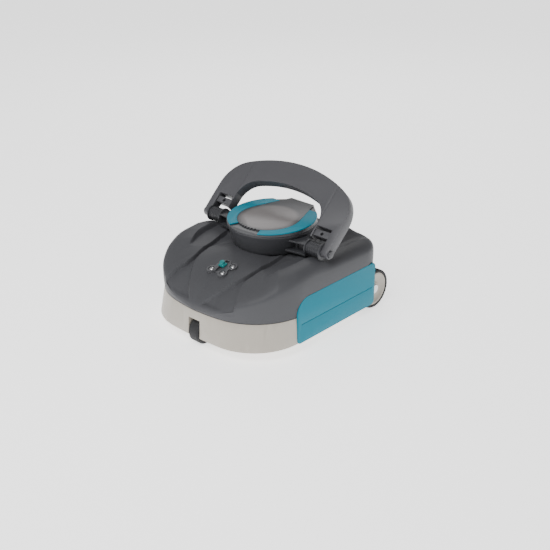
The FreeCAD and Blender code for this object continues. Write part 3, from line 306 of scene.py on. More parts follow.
def moulded_plastic(name, colour, rough=0.42, grain=2600, relief=0.10, tone=0.10, coat=0.0, shine=0.5):
    """Moulded plastic: fine grain, faint tone change over the surface, slightly uneven gloss."""
    finish, tree, shader = new_finish(name)
    if tree is None:
        return finish
    place = tree.nodes.new("ShaderNodeTexCoord")
    cloud = texture(tree, "ShaderNodeTexNoise", place, Scale=9.0, Detail=3.0, Roughness=0.55)
    fine = texture(tree, "ShaderNodeTexNoise", place, Scale=float(grain), Detail=2.0, Roughness=0.6)
    mix = tree.nodes.new("ShaderNodeMix")
    mix.data_type = "RGBA"
    mix.inputs["A"].default_value = (*[c * (1 - tone) for c in colour], 1)
    mix.inputs["B"].default_value = (*[min(1, c * (1 + tone)) for c in colour], 1)
    tree.links.new(cloud.outputs["Fac"], mix.inputs["Factor"])
    tree.links.new(mix.outputs["Result"], shader.inputs["Base Color"])
    gloss = tree.nodes.new("ShaderNodeMapRange")
    gloss.inputs["To Min"].default_value = rough - 0.05
    gloss.inputs["To Max"].default_value = rough + 0.07
    tree.links.new(fine.outputs["Fac"], gloss.inputs["Value"])
    tree.links.new(gloss.outputs["Result"], shader.inputs["Roughness"])
    bump = tree.nodes.new("ShaderNodeBump")
    bump.inputs["Strength"].default_value = relief
    bump.inputs["Distance"].default_value = 0.0002
    tree.links.new(fine.outputs["Fac"], bump.inputs["Height"])
    tree.links.new(bump.outputs["Normal"], shader.inputs["Normal"])
    shader.inputs["Coat Weight"].default_value = coat
    shader.inputs["Specular IOR Level"].default_value = shine
    shader.inputs["Coat Roughness"].default_value = 0.25
    return finish


def cap_plastic(name, face, rim, middle, radius):
    """The cap's plastic: warm grey over its round face, darker over the rim and the hood."""
    finish = moulded_plastic(name, face, rough=0.34, relief=0.06, tone=0.05, coat=0.1)
    tree = finish.node_tree
    if "face_fade" in tree.nodes:
        return finish
    shader = tree.nodes["Principled BSDF"]
    place = tree.nodes.new("ShaderNodeTexCoord")
    flat = tree.nodes.new("ShaderNodeVectorMath")
    flat.operation = "MULTIPLY"
    flat.inputs[1].default_value = (1, 1, 0)
    span = tree.nodes.new("ShaderNodeVectorMath")
    span.operation = "DISTANCE"
    span.inputs[1].default_value = mm(*middle)
    fade = tree.nodes.new("ShaderNodeMapRange")
    fade.name = "face_fade"
    fade.interpolation_type = "SMOOTHSTEP"
    fade.inputs["From Min"].default_value = (radius - 14) * MM
    fade.inputs["From Max"].default_value = (radius + 1) * MM
    mix = tree.nodes.new("ShaderNodeMix")
    mix.data_type = "RGBA"
    mix.inputs["B"].default_value = (*rim, 1)
    tree.links.new(place.outputs["Object"], flat.inputs[0])
    tree.links.new(flat.outputs["Vector"], span.inputs[0])
    tree.links.new(span.outputs["Value"], fade.inputs["Value"])
    tree.links.new(fade.outputs["Result"], mix.inputs["Factor"])
    tree.links.new(shader.inputs["Base Color"].links[0].from_socket, mix.inputs["A"])
    tree.links.new(mix.outputs["Result"], shader.inputs["Base Color"])
    return finish


def brushed_steel(name, colour, rough=0.28):
    """Turned stainless steel with fine streaks."""
    finish, tree, shader = new_finish(name)
    if tree is None:
        return finish
    place = tree.nodes.new("ShaderNodeTexCoord")
    stretch = tree.nodes.new("ShaderNodeMapping")
    stretch.inputs["Scale"].default_value = (40, 900, 900)
    streak = tree.nodes.new("ShaderNodeTexNoise")
    tree.links.new(place.outputs["Object"], stretch.inputs["Vector"])
    tree.links.new(stretch.outputs["Vector"], streak.inputs["Vector"])
    streak.inputs["Scale"].default_value = 3.0
    gloss = tree.nodes.new("ShaderNodeMapRange")
    gloss.inputs["To Min"].default_value = rough - 0.10
    gloss.inputs["To Max"].default_value = rough + 0.12
    tree.links.new(streak.outputs["Fac"], gloss.inputs["Value"])
    tree.links.new(gloss.outputs["Result"], shader.inputs["Roughness"])
    tint = tree.nodes.new("ShaderNodeMix")
    tint.data_type = "RGBA"
    tint.inputs["A"].default_value = (*[c * 0.85 for c in colour], 1)
    tint.inputs["B"].default_value = (*colour, 1)
    tree.links.new(streak.outputs["Fac"], tint.inputs["Factor"])
    tree.links.new(tint.outputs["Result"], shader.inputs["Base Color"])
    shader.inputs["Metallic"].default_value = 1.0
    return finish


def woven_mesh(name, colour):
    """Fine filter cloth: crossed threads in relief and tone."""
    finish, tree, shader = new_finish(name)
    if tree is None:
        return finish
    place = tree.nodes.new("ShaderNodeTexCoord")
    height = None
    for direction in ("X", "Y"):
        wave = texture(tree, "ShaderNodeTexWave", place, Scale=320.0, Distortion=0.4)
        wave.bands_direction = direction
        if height is None:
            height = wave.outputs["Fac"]
        else:
            both = tree.nodes.new("ShaderNodeMath")
            both.operation = "MULTIPLY"
            tree.links.new(height, both.inputs[0])
            tree.links.new(wave.outputs["Fac"], both.inputs[1])
            height = both.outputs["Value"]
    mix = tree.nodes.new("ShaderNodeMix")
    mix.data_type = "RGBA"
    mix.inputs["A"].default_value = (*[c * 0.35 for c in colour], 1)
    mix.inputs["B"].default_value = (*colour, 1)
    tree.links.new(height, mix.inputs["Factor"])
    tree.links.new(mix.outputs["Result"], shader.inputs["Base Color"])
    bump = tree.nodes.new("ShaderNodeBump")
    bump.inputs["Strength"].default_value = 0.5
    bump.inputs["Distance"].default_value = 0.0004
    tree.links.new(height, bump.inputs["Height"])
    tree.links.new(bump.outputs["Normal"], shader.inputs["Normal"])
    shader.inputs["Roughness"].default_value = 0.75
    return finish


def finishes():
    """Every finish by its material slot in the record."""
    c = colours()
    dark = tuple(x * 0.62 for x in c.casing)
    return {
        "shell_grey": moulded_plastic("casing_plastic", tuple(c.casing), rough=0.48, relief=0.12, tone=0.06,
                                      shine=0.22),
        "hull_beige": moulded_plastic("hull_plastic", tuple(c.hull), rough=0.36, relief=0.08, tone=0.05),
        "seal_black": moulded_plastic("seal_rubber", tuple(c.rubber), rough=0.70, relief=0.20, tone=0.15),
        "teal_cover": moulded_plastic("teal_cover_plastic", tuple(c.teal), rough=0.42, relief=0.06, tone=0.06,
                                      shine=0.15),
        "teal_trim": moulded_plastic("teal_trim_plastic", tuple(x * 1.12 for x in c.teal), rough=0.40,
                                     relief=0.05, tone=0.05, shine=0.15),
        "teal_knob": moulded_plastic("teal_knob_plastic", (0.0, 0.20, 0.20), rough=0.35, tone=0.08),
        "stainless": brushed_steel("stainless_steel", tuple(c.steel)),
        "drum_grey": moulded_plastic("drum_plastic", tuple(c.drum), rough=0.45, relief=0.10, tone=0.07),
        "cap_grey": cap_plastic("cap_plastic", tuple(c.cap), tuple(c.drum), FACE_CENTRE, FACE_RADIUS),
        "handle_grey": moulded_plastic("handle_plastic", tuple(c.handle), rough=0.46, relief=0.14, tone=0.06),
        "tyre_black": moulded_plastic("tyre_rubber", tuple(c.rubber), rough=0.75, grain=1400, relief=0.35,
                                      tone=0.25),
        "disc_beige": moulded_plastic("disc_plastic", tuple(x * 0.94 for x in c.hull), rough=0.38, tone=0.06),
        "tray_grey": moulded_plastic("tray_plastic", dark, rough=0.48, relief=0.12, tone=0.08),
        "flap_rubber": moulded_plastic("flap_rubber", (0.03, 0.03, 0.033), rough=0.72, relief=0.3, tone=0.2),
        "mesh_white": woven_mesh("filter_cloth", (0.75, 0.76, 0.74)),
        "motor_metal": brushed_steel("motor_metal", (0.45, 0.45, 0.47), rough=0.35),
        "impeller_white": moulded_plastic("impeller_plastic", (0.70, 0.70, 0.68), rough=0.4),
        "box_white": moulded_plastic("box_plastic", (0.62, 0.62, 0.60), rough=0.45),
        "battery_wrap": moulded_plastic("battery_wrap", (0.02, 0.09, 0.30), rough=0.3, tone=0.1),
        "board_green": moulded_plastic("board_green", (0.01, 0.12, 0.05), rough=0.4, tone=0.2),
    }


# ---------------------------------------------------------------- casing surface

# The seam with the hull: its height, and the plan's reach forward, sideways and back from the middle.
SEAM = 77.0
NOSE = 199.0
HALF = 167.0
TAIL = 178.0
# The plan's large front corners, with how far forward they are centred, and its small rear ones.
CORNER = 125.0
CORNER_Y = -70.0
TAIL_CORNER = 60.0
# Rings of the mesh: shares of the wall's height, then rings over the top, closer at the shoulder.
WALL_SHARES = (0, 0.12, 0.3, 0.5, 0.7, 0.88)
RINGS = 84
RING_SPREAD = 1.25
# The wall swells a little on its way up, and the swell dies out over the shoulder.
SWELL = 1.6
SWELL_FADE = 14
# The casing ends at this radius under the turret, and lies flat under the drum's foot.
HOLE = 62
FOOT_RADIUS = 80
FOOT_HEIGHT = 153.5
# Drop from a fender down into its scoop.
SCOOP_FALL = 5
# Rear hump: height, and where it ends sideways, starts, ends and clears the turret.
HUMP = 10.5
HUMP_SIDE, HUMP_START, HUMP_END, HUMP_CLEAR = (88, 112), (60, 96), (148, 172), (93, 100)
# Dip each side of the hump: depth, and where it starts and ends sideways, starts and ends.
DIP = 3.0
DIP_INNER, DIP_OUTER, DIP_START, DIP_END = (110, 118), (126, 136), (70, 100), (160, 176)
# Shallow bed under the control pad.
PAD_Y = -122
BED = 2.4
BED_EDGE = (22, 58)

# Directions round the casing's heart, from the nose, in degrees, and what the casing does along each.
BEARING = (0, 12, 20, 28, 36, 44, 54, 66, 73, 80, 100, 120, 145, 160, 180)
SHOULDER = (79, 86, 98, 110, 121, 127, 131, 134, 134, 132, 130, 130, 130, 128, 126)
ROUNDING = (151, 148, 140, 132, 92, 54, 44, 38, 36, 34, 40, 45, 45, 45, 45)
FULLNESS = (1.75, 1.75, 1.78, 1.75, 1.8, 2.2, 2.7, 3.0, 3.1, 3.2, 3.2, 3.0, 3.0, 3.0, 3.0)
FENDER = (153.5, 153.5, 153, 152.5, 152, 159, 165, 168, 165, 159, 158, 157, 156, 155, 154)
DECK = (153.5, 153.5, 153, 152, 150, 151, 154, 156, 157, 157, 157, 157, 156, 155, 154)
SCOOP = (60, 60, 60, 55, 48, 52, 47, 40, 36, 36, 40, 40, 40, 40, 40)
# Inner and outer edges of the groove beside the bonnet: distance along the nose, distance off the middle.
GROOVE_Y = (-199, -191, -182, -170, -157, -144, -130, -117, -92, -62, -26, 10)
GROOVE_IN = (14, 22, 32.6, 42, 51.4, 60.6, 67, 69.9, 72.3, 71, 67, 63)
GROOVE_OUT = (97, 95, 93, 87, 81, 76, 75, 76, 80, 86.5, 94, 101)
GROOVE_START, GROOVE_END = (-199, -188), (-20, 6)
GROOVE_WALL = 2.0
GROOVE_TILT = 0.2


def ease(low, high, value):
    t = np.clip((value - low) / (high - low), 0, 1)
    return t * t * (3 - 2 * t)


def arc_point(x, y, radius, angle):
    return x + radius * math.cos(angle), y + radius * math.sin(angle)


def seam_outline():
    """The plan outline, from the nose round the right flank to the tail and back up the left."""
    centre_x = HALF - CORNER
    drop = CORNER_Y + NOSE
    nose = (centre_x ** 2 + drop ** 2 - CORNER ** 2) / (2 * (drop - CORNER))
    nose_y = nose - NOSE
    scale = nose / (nose - CORNER)
    touch = Vector((centre_x * scale, nose_y + (CORNER_Y - nose_y) * scale))
    sweep = math.atan2(touch.x, nose_y - touch.y)
    lift = math.atan2(touch.y - CORNER_Y, touch.x - centre_x)
    points = []

    def add(count, spot):
        points.extend(spot(step / count) for step in range(count))

    straight = TAIL - TAIL_CORNER
    add(84, lambda t: (nose * math.sin(sweep * t), nose_y - nose * math.cos(sweep * t)))
    add(92, lambda t: arc_point(centre_x, CORNER_Y, CORNER, lift * (1 - t)))
    add(22, lambda t: (HALF, CORNER_Y + (straight - CORNER_Y) * t))
    add(14, lambda t: arc_point(HALF - TAIL_CORNER, straight, TAIL_CORNER, t * math.pi / 2))
    add(14, lambda t: ((HALF - TAIL_CORNER) * (1 - t), TAIL))
    points.append((0.0, TAIL))
    mirror = [(-x, y) for x, y in reversed(points[1:-1])]
    return np.array(points + mirror)


def bonnet_relief(x, y, depth):
    """The sunken groove each side of the bonnet, wide at the nose, narrow at its waist."""
    off = np.abs(x)
    inner = np.interp(y, GROOVE_Y, GROOVE_IN)
    outer = np.interp(y, GROOVE_Y, GROOVE_OUT)
    width = outer - inner
    step_out = ease(outer - GROOVE_WALL * 0.4, outer + GROOVE_WALL * 0.6, off)
    sunk = ease(inner - GROOVE_WALL, inner, off) * (1 - step_out)
    fade = ease(*GROOVE_START, y) * (1 - ease(*GROOVE_END, y))
    slope = np.clip((off - inner) / np.maximum(width, 1), 0, 1)
    return -depth * sunk * fade * (1 - GROOVE_TILT + GROOVE_TILT * slope)


def casing_height(x, y, z):
    """Relief over the plain surface: grooves, the rear hump with a dip each side, and the bed of the pad."""
    z = z + bonnet_relief(x, y, sizes().groove / MM)
    off = np.abs(x)
    away = np.hypot(x, y - TURRET.y) - 3
    hump = HUMP * (1 - ease(*HUMP_SIDE, off)) * ease(*HUMP_START, y)
    hump = hump * (1 - ease(*HUMP_END, y)) * ease(*HUMP_CLEAR, away)
    dip = -DIP * ease(*DIP_INNER, off) * (1 - ease(*DIP_OUTER, off))
    dip = dip * ease(*DIP_START, y) * (1 - ease(*DIP_END, y))
    bed = -BED * (1 - ease(*BED_EDGE, np.hypot(0.95 * x, y - PAD_Y)))
    return z + hump + dip + bed


def wall_swell(share):
    """How far the wall stands out over the seam, from the seam, 0, to the shoulder, 1."""
    return SWELL * math.sin(math.pi * share * 0.6)


def casing_rings():
    """Rings of points from the seam up the wall and in over the top to the turret's floor."""
    rim = seam_outline()
    centre = np.array([HEART.x, HEART.y])
    ray = rim - centre
    reach = np.hypot(ray[:, 0], ray[:, 1])
    bearing = np.degrees(np.arctan2(np.abs(ray[:, 0]), -ray[:, 1]))
    look = {key: np.interp(bearing, BEARING, row) for key, row in
            (("shoulder", SHOULDER), ("run", ROUNDING), ("full", FULLNESS), ("fender", FENDER),
             ("deck", DECK), ("scoop", SCOOP))}
    out = []
    for share in WALL_SHARES:
        height = SEAM + (look["shoulder"] - SEAM) * share
        spot = rim + ray / reach[:, None] * wall_swell(share)
        out.append(np.column_stack([spot, height]))
    inward = reach - HOLE
    for share in np.linspace(0, 1, RINGS) ** RING_SPREAD:
        gone = inward * share
        t = np.clip(gone / look["run"], 0, 1)
        bulge = (1 - (1 - t) ** look["full"]) ** (1 / look["full"])
        height = look["shoulder"] + (look["fender"] - look["shoulder"]) * bulge
        fall = ease(0, SCOOP_FALL, gone - look["scoop"])
        height = height + (np.minimum(look["deck"], height) - height) * fall
        swell = wall_swell(1) * (1 - ease(0, SWELL_FADE, gone))
        spot = rim - ray / reach[:, None] * (gone - swell)[:, None]
        height = casing_height(spot[:, 0], spot[:, 1], height)
        floor = np.hypot(spot[:, 0], spot[:, 1] - TURRET.y)
        height = np.where(floor < FOOT_RADIUS, np.minimum(height, FOOT_HEIGHT), height)
        out.append(np.column_stack([spot, height]))
    return np.array(out)


def ring_mesh(name, rings):
    """A quad mesh over rings of points, each ring closed."""
    count = rings.shape[1]
    vertices = (rings.reshape(-1, 3) * MM).tolist()
    faces = []
    for level in range(rings.shape[0] - 1):
        for step in range(count):
            after = (step + 1) % count
            faces.append((level * count + step, level * count + after,
                          (level + 1) * count + after, (level + 1) * count + step))
    mesh = bpy.data.meshes.new(name)
    mesh.from_pydata(vertices, [], faces)
    obj = bpy.data.objects.new(name, mesh)
    bpy.context.scene.collection.objects.link(obj)
    edit(obj)
    bpy.ops.mesh.select_all(action="SELECT")
    bpy.ops.mesh.normals_make_consistent(inside=False)
    bpy.ops.object.mode_set(mode="OBJECT")
    return obj


# Side covers: along, up and off the middle, with the gap round them, and what the casing has behind them.
COVER_FRONT, COVER_BACK = -90, 147
COVER_FOOT, COVER_TOP = 18.5, 113
COVER_IN, COVER_OUT = 163.5, 168.5
COVER_GAP = 0.6
BACKING_IN, BACKING_OUT = 159.8, 164.8
LEDGE_OUT = 166.4
# Cutters reach this far off the middle, past the widest piece.
CLEAR = 186
# Each corner of the side cover: its place, its radius and the facets of its rounding.
COVER_CORNERS = (((COVER_FRONT, COVER_TOP), 30, 10), ((COVER_FRONT, COVER_FOOT), 9, 5),
                 ((COVER_BACK, COVER_TOP), 10, 5), ((COVER_BACK, COVER_FOOT), 9, 5))


def cover_block(name, side, near, far, grow=0.0):
    """The side cover's outline as a block from near to far off the middle: a large upper front corner."""
    low_x, high_x = across(side, near, far)
    obj = block(name, (low_x, COVER_FRONT - grow, COVER_FOOT - grow),
                (high_x, COVER_BACK + grow, COVER_TOP + grow))
    edit(obj)
    for corner, radius, parts in COVER_CORNERS:
        choose_edges(obj, lambda middle, way: abs(way.x) > 0.6 * abs(high_x - low_x) * MM
               and abs(middle.y - corner[0]) < 3 + grow and abs(middle.z - corner[1]) < 3 + grow)
        bpy.ops.mesh.bevel(offset=(radius + grow) * MM, segments=parts, affect="EDGES")
    bpy.ops.object.mode_set(mode="OBJECT")
    return obj


# Rear wheels: the axle's place, and the well's radius and inner wall.
WHEEL_Y, WHEEL_Z = 163.5, 42
WELL_RADIUS = 46
WELL_IN = 126


def wheel_cutter(name, side):
    """The space that the rear wheel needs in the casing: round in front, open behind and below."""
    low, high = across(side, WELL_IN, CLEAR)
    well = drum_shape(name, WELL_RADIUS, high - low, ((low + high) / 2, WHEEL_Y, WHEEL_Z), "X")
    slab = block(f"{name}_slab", (low, WHEEL_Y, -4), (high, 223, WHEEL_Z + WELL_RADIUS))
    foot = block(f"{name}_foot", (low, WHEEL_Y - WELL_RADIUS, -20), (high, 223, WHEEL_Z))
    return [well, slab, foot]


# Hole for the charging socket in the rear wall.
SOCKET_Z = 106
SOCKET_RADIUS = 9


class CLEANER_OT_casing(bpy.types.Operator):
    """Dark upper casing: vertical wall, fenders with scoops, bonnet grooves and rear deck"""
    bl_idname = "cleaner.casing"
    bl_label = "Upper casing"

    def execute(self, context):
        casing = ring_mesh("casing", casing_rings())
        modify(casing, "SOLIDIFY", thickness=sizes().wall, offset=-1, use_quality_normals=True, use_rim=True)
        backs = []
        for _, side in SIDES:
            near, far = across(side, BACKING_IN, BACKING_OUT)
            backs.append(block("cover_back", (near, COVER_FRONT - 2, SEAM + 1), (far, 132, COVER_TOP + 4)))
            near, far = across(side, BACKING_IN, LEDGE_OUT)
            backs.append(block("cover_ledge", (near, COVER_FRONT + 6, COVER_TOP + 0.8),
                               (far, 128, COVER_TOP + 5.5)))
        carve(casing, backs, "UNION")
        cutters = []
        for _, side in SIDES:
            cutters.append(cover_block("recess", side, COVER_IN - 0.3, CLEAR, COVER_GAP))
            cutters += wheel_cutter("well", side)
        cutters.append(drum_shape("socket_hole", SOCKET_RADIUS, 30, (0, TAIL, SOCKET_Z), "Y"))
        carve(casing, cutters)
        done(casing, "chassis", finishes()["shell_grey"], ["upper_shell"], angle=24)
        return {"FINISHED"}


# ---------------------------------------------------------------- turret

# Radius and height round the drum's section: foot, cone, lip, shadow gap and the inside back down.
DRUM_SECTION = [(60, 154), (78.2, 154), (78.9, 154.6), (84.6, 173.0), (90.2, 190.6), (91.2, 192.4),
                (91.2, 194.9), (90.5, 195.5), (86, 195.5), (86, 193.2), (87.4, 192.0), (75.5, 157.2),
                (60, 157)]


class CLEANER_OT_drum(bpy.types.Operator):
    """Conical housing under the cap, with a fine lip and a shadow gap"""
    bl_idname = "cleaner.drum"
    bl_label = "Turret drum"

    def execute(self, context):
        drum = lathe("drum", DRUM_SECTION, (0, TURRET.y, 0), steps=144)
        done(drum, "chassis", finishes()["drum_grey"], ["turret_drum"])
        return {"FINISHED"}


class CLEANER_OT_cap(bpy.types.Operator):
    """Turning cap with the hood that aims the jet, teal crescents and the grip notches"""
    bl_idname = "cleaner.cap"
    bl_label = "Nozzle cap"

    def execute(self, context):
        kinds = finishes()
        cap = moulded("nozzle_cap", sizes().edge)
        done(cap, "nozzle", kinds["cap_grey"], ["nozzle_cap"], angle=28)
        for name, _ in SIDES:
            trim = moulded(f"cap_trim_{name}", 0.9 * MM, 3)
            done(trim, "nozzle", kinds["teal_trim"], [f"cap_trim_{name}"])
        return {"FINISHED"}


# ---------------------------------------------------------------- handle

class CLEANER_OT_handle(bpy.types.Operator):
    """Carrying handle: the arch, its forked ends and the lock blocks"""
    bl_idname = "cleaner.handle"
    bl_label = "Handle"

    def execute(self, context):
        kinds = finishes()
        grip = moulded("handle_grip", sizes().handle_edge, 3)
        done(grip, "handle", kinds["handle_grey"], ["handle_grip"])
        for name, _ in SIDES:
            end = moulded(f"handle_end_{name}", 1.4 * MM, 2)
            done(end, "handle", kinds["handle_grey"], [f"handle_end_{name}"])
            bracket = moulded(f"bracket_{name}", 0.5 * MM, 2)
            done(bracket, "chassis", kinds["drum_grey"], [f"bracket_{name}"])
            pin = moulded(f"hinge_pin_{name}", 0.8 * MM, 2)
            done(pin, "handle", kinds["drum_grey"], [f"hinge_pin_{name}"])
            lock = moulded(f"lock_slider_{name}", 1.2 * MM, 3)
            done(lock, f"lock_{name}", kinds["handle_grey"], [f"lock_slider_{name}"])
        return {"FINISHED"}


# ---------------------------------------------------------------- control pad

PAD_TILT = math.radians(17)
PAD_PLACE = Matrix.Translation(Vector((0, PAD_Y, 142.4)) * MM) @ Matrix.Rotation(PAD_TILT, 4, "X")
PAD_SCREWS = ((-15, -15), (15, -15), (20, 9))
LOBE, KNOB_LOBE, SCREW_RECESS = 9.6, 12, 6.4
SCREW_SECTION = [(0, -4), (1.8, -4), (1.8, -1.4), (4.4, -1.4), (4.4, -0.5), (3.2, 0.5), (1.4, 0.9), (0, 0.9)]
# Half the length and half the width of each bar of a screw's cross.
CROSS_LONG, CROSS_WIDE = 2.2, 0.5


def lay_on_pad(obj):
    """Carries a piece modelled flat over to the sloping pad."""
    obj.data.transform(PAD_PLACE)
    return obj


class CLEANER_OT_pad(bpy.types.Operator):
    """Control pad: a plate with a lobe round each screw, a slot and the teal knob"""
    bl_idname = "cleaner.pad"
    bl_label = "Control pad"

    def execute(self, context):
        kinds = finishes()
        plate = block("pad", (-15, -17, -5), (20, 13, -0.4))
        lobes = [drum_shape("lobe", LOBE, 5, (x, y, -2.5), sides=48) for x, y in PAD_SCREWS]
        lobes.append(drum_shape("lobe", KNOB_LOBE, 4.6, (0, 9, -2.7), sides=48))
        carve(plate, lobes, "UNION")
        cuts = [drum_shape("recess", SCREW_RECESS, 3, (x, y, 0.1), sides=40) for x, y in PAD_SCREWS]
        cuts.append(block("slit", (-3.4, -30, -3.2), (3.4, -6, 3)))
        cuts.append(block("track", (-5, -13, -6), (5, 18, 3)))
        carve(plate, cuts)
        soften(plate, 0.7 * MM, 3)
        done(lay_on_pad(plate), "chassis", kinds["handle_grey"], ["switch_plate"])
        screws = []
        for x, y in PAD_SCREWS:
            screw = lathe("pad_screw", SCREW_SECTION, (x, y, 0), steps=32)
            cross = [block("cross", (x - across_x, y - across_y, 0.1), (x + across_x, y + across_y, 2))
                     for across_x, across_y in ((CROSS_LONG, CROSS_WIDE), (CROSS_WIDE, CROSS_LONG))]
            screws.append(carve(screw, cross))
        head = join(screws[0], screws[1:])
        done(lay_on_pad(head), "chassis", kinds["stainless"], ["plate_screws"])
        knob = moulded("power_slider", 0.8 * MM, 3)
        done(knob, "switch", kinds["teal_knob"], ["power_slider"])
        return {"FINISHED"}


# ---------------------------------------------------------------- hull and rear wheels

def ringed(obj, count, centre, axis):
    """Copies of the object's mesh, evenly round an axis, in one mesh."""
    edit(obj)
    bpy.ops.mesh.select_all(action="SELECT")
    bpy.ops.mesh.spin(steps=count - 1, angle=2 * math.pi * (count - 1) / count, dupli=True,
                      center=mm(*centre), axis=axis)
    bpy.ops.object.mode_set(mode="OBJECT")
    return obj


class CLEANER_OT_hull(bpy.types.Operator):
    """Pale lower hull with a rounded foot"""
    bl_idname = "cleaner.hull"
    bl_label = "Lower hull"

    def execute(self, context):
        hull = moulded("lower_hull", 1.2 * MM, 2)
        done(hull, "chassis", finishes()["hull_beige"], ["lower_hull"])
        return {"FINISHED"}


# Radius and distance off the middle round the tyre's section, and the gap between two tread blocks.
TYRE_SECTION = [(36, 131.2), (40.6, 131.2), (42, 133), (42, 156.5), (40.6, 158.8), (36, 158.8)]
GAP_HALF = 1.3
GAP_FLOOR, GAP_TOP = 40.2, 44


class CLEANER_OT_wheels(bpy.types.Operator):
    """Rear wheels: tyres with tread blocks, and their discs"""
    bl_idname = "cleaner.wheels"
    bl_label = "Wheels"

    def execute(self, context):
        kinds = finishes()
        axle = (0, WHEEL_Y, WHEEL_Z)
        for name, side in SIDES:
            tyre = lathe(f"tyre_{name}", TYRE_SECTION, axle, "X", 120)
            tyre.data.transform(Matrix.Diagonal((side, 1, 1, 1)))
            low, high = across(side, 129, 161)
            gap = block("gap", (low, WHEEL_Y - GAP_HALF, WHEEL_Z + GAP_FLOOR),
                        (high, WHEEL_Y + GAP_HALF, WHEEL_Z + GAP_TOP))
            carve(tyre, [ringed(gap, sizes().tread_blocks, axle, (1, 0, 0))])
            edit(tyre)
            bpy.ops.mesh.select_all(action="SELECT")
            bpy.ops.mesh.normals_make_consistent(inside=False)
            soften(tyre, 0.4 * MM, 1)
            done(tyre, f"wheel_{name}", kinds["tyre_black"], [f"wheel_tyre_{name}"])
            disc = moulded(f"wheel_disc_{name}", 0.7 * MM, 2)
            done(disc, f"wheel_{name}", kinds["disc_beige"], [f"wheel_disc_{name}"])
        return {"FINISHED"}


# ---------------------------------------------------------------- side covers

class CLEANER_OT_covers(bpy.types.Operator):
    """Teal side covers"""
    bl_idname = "cleaner.covers"
    bl_label = "Side covers"

    def execute(self, context):
        kinds = finishes()
        for name, side in SIDES:
            cover = cover_block(f"cover_{name}", side, COVER_IN, COVER_OUT)
            low, high = across(side, COVER_OUT - 0.8, COVER_OUT + 2.5)
            carve(cover, [block("crease", (low, -80, 58), (high, 138, 59.4))])
            soften(cover, 1.6 * MM, 3)
            done(cover, "chassis", kinds["teal_cover"], [f"side_panel_{name}"])
        return {"FINISHED"}


# ---------------------------------------------------------------- carried CAD nodes

class CLEANER_OT_finish_nodes(bpy.types.Operator):
    """Finishes for the CAD nodes that keep their own shape"""
    bl_idname = "cleaner.finish_nodes"
    bl_label = "CAD node finishes"

    def execute(self, context):
        kinds = finishes()
        for entry in frame["record"]["subparts"]:
            dress(frame["nodes"][entry["node"]], kinds[entry["material_slot"]])
        return {"FINISHED"}


# ---------------------------------------------------------------- stage

FLOOR_SIZE = 24
FLOOR_GLOW = 1.5
SENSOR = 36
# Each soft light: its place and size in metres, and the setting that holds its power.
LIGHTS = (("key_light", (0.2, -1.3, 1.9), 1.2, "key"),
          ("fill_light", (1.9, -0.3, 1.0), 1.6, "fill"),
          ("back_light", (-1.2, 1.5, 1.7), 1.4, "back"))


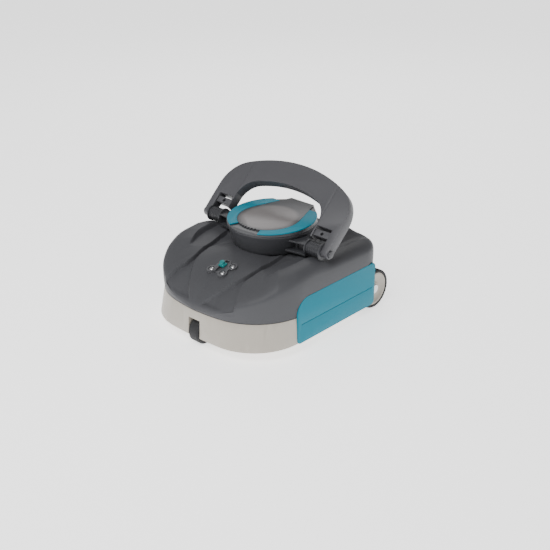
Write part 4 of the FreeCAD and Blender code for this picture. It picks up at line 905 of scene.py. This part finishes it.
class CLEANER_OT_stage(bpy.types.Operator):
    """Pale floor, soft lights and the camera"""
    bl_idname = "cleaner.stage"
    bl_label = "Stage"

    def execute(self, context):
        view = context.scene.cleaner_view
        calm()
        bpy.ops.mesh.primitive_plane_add(size=FLOOR_SIZE, location=(0, 0, 0))
        floor = named("floor")
        finish, tree, shader = new_finish("pale_floor")
        shader.inputs["Base Color"].default_value = (0.90, 0.90, 0.90, 1)
        shader.inputs["Roughness"].default_value = 0.9
        shader.inputs["Emission Color"].default_value = (1, 1, 1, 1)
        shader.inputs["Emission Strength"].default_value = FLOOR_GLOW
        dress(floor, finish)
        way = Vector((math.sin(view.azimuth) * math.cos(view.elevation),
                      -math.cos(view.azimuth) * math.cos(view.elevation), math.sin(view.elevation)))
        target = Vector(view.target)
        eye = bpy.data.cameras.new("camera")
        eye.lens = view.lens
        eye.sensor_width = SENSOR
        camera = bpy.data.objects.new("camera", eye)
        context.scene.collection.objects.link(camera)
        camera.location = target + way * view.distance
        camera.rotation_euler = (-way).to_track_quat("-Z", "Y").to_euler()
        context.scene.camera = camera
        for name, spot, size, power in LIGHTS:
            lamp = bpy.data.lights.new(name, "AREA")
            lamp.energy = getattr(view, power)
            lamp.size = size
            light = bpy.data.objects.new(name, lamp)
            context.scene.collection.objects.link(light)
            light.location = spot
            light.rotation_euler = (target - Vector(spot)).to_track_quat("-Z", "Y").to_euler()
        world = bpy.data.worlds.new("studio")
        world.use_nodes = True
        sky = world.node_tree.nodes["Background"]
        sky.inputs["Color"].default_value = (1, 1, 1, 1)
        sky.inputs["Strength"].default_value = view.sky
        context.scene.world = world
        return {"FINISHED"}


class CLEANER_PT_panel(bpy.types.Panel):
    bl_idname = "CLEANER_PT_panel"
    bl_label = "Pool Cleaner"
    bl_space_type = "VIEW_3D"
    bl_region_type = "UI"
    bl_category = "Pool Cleaner"

    def draw(self, context):
        for operator in OPERATORS:
            self.layout.operator(operator.bl_idname)
        for group in (context.scene.cleaner_sizes, context.scene.cleaner_colours, context.scene.cleaner_view):
            box = self.layout.box()
            for name in group.bl_rna.properties.keys():
                if name not in ("rna_type", "name"):
                    box.prop(group, name)


GROUPS = (("cleaner_sizes", CleanerSizes), ("cleaner_colours", CleanerColours), ("cleaner_view", CleanerView))
OPERATORS = (CLEANER_OT_finish_nodes, CLEANER_OT_casing, CLEANER_OT_drum, CLEANER_OT_cap, CLEANER_OT_handle,
             CLEANER_OT_pad, CLEANER_OT_hull, CLEANER_OT_wheels, CLEANER_OT_covers, CLEANER_OT_stage)


def register():
    for name, group in GROUPS:
        bpy.utils.register_class(group)
        setattr(bpy.types.Scene, name, bpy.props.PointerProperty(type=group))
    for operator in OPERATORS:
        bpy.utils.register_class(operator)
    bpy.utils.register_class(CLEANER_PT_panel)


def unregister():
    bpy.utils.unregister_class(CLEANER_PT_panel)
    for operator in reversed(OPERATORS):
        bpy.utils.unregister_class(operator)
    for name, group in reversed(GROUPS):
        delattr(bpy.types.Scene, name)
        bpy.utils.unregister_class(group)


def main():
    register()
    for operator in OPERATORS:
        family, action = operator.bl_idname.split(".")
        getattr(getattr(bpy.ops, family), action)()


if __name__ == "__main__":
    main()
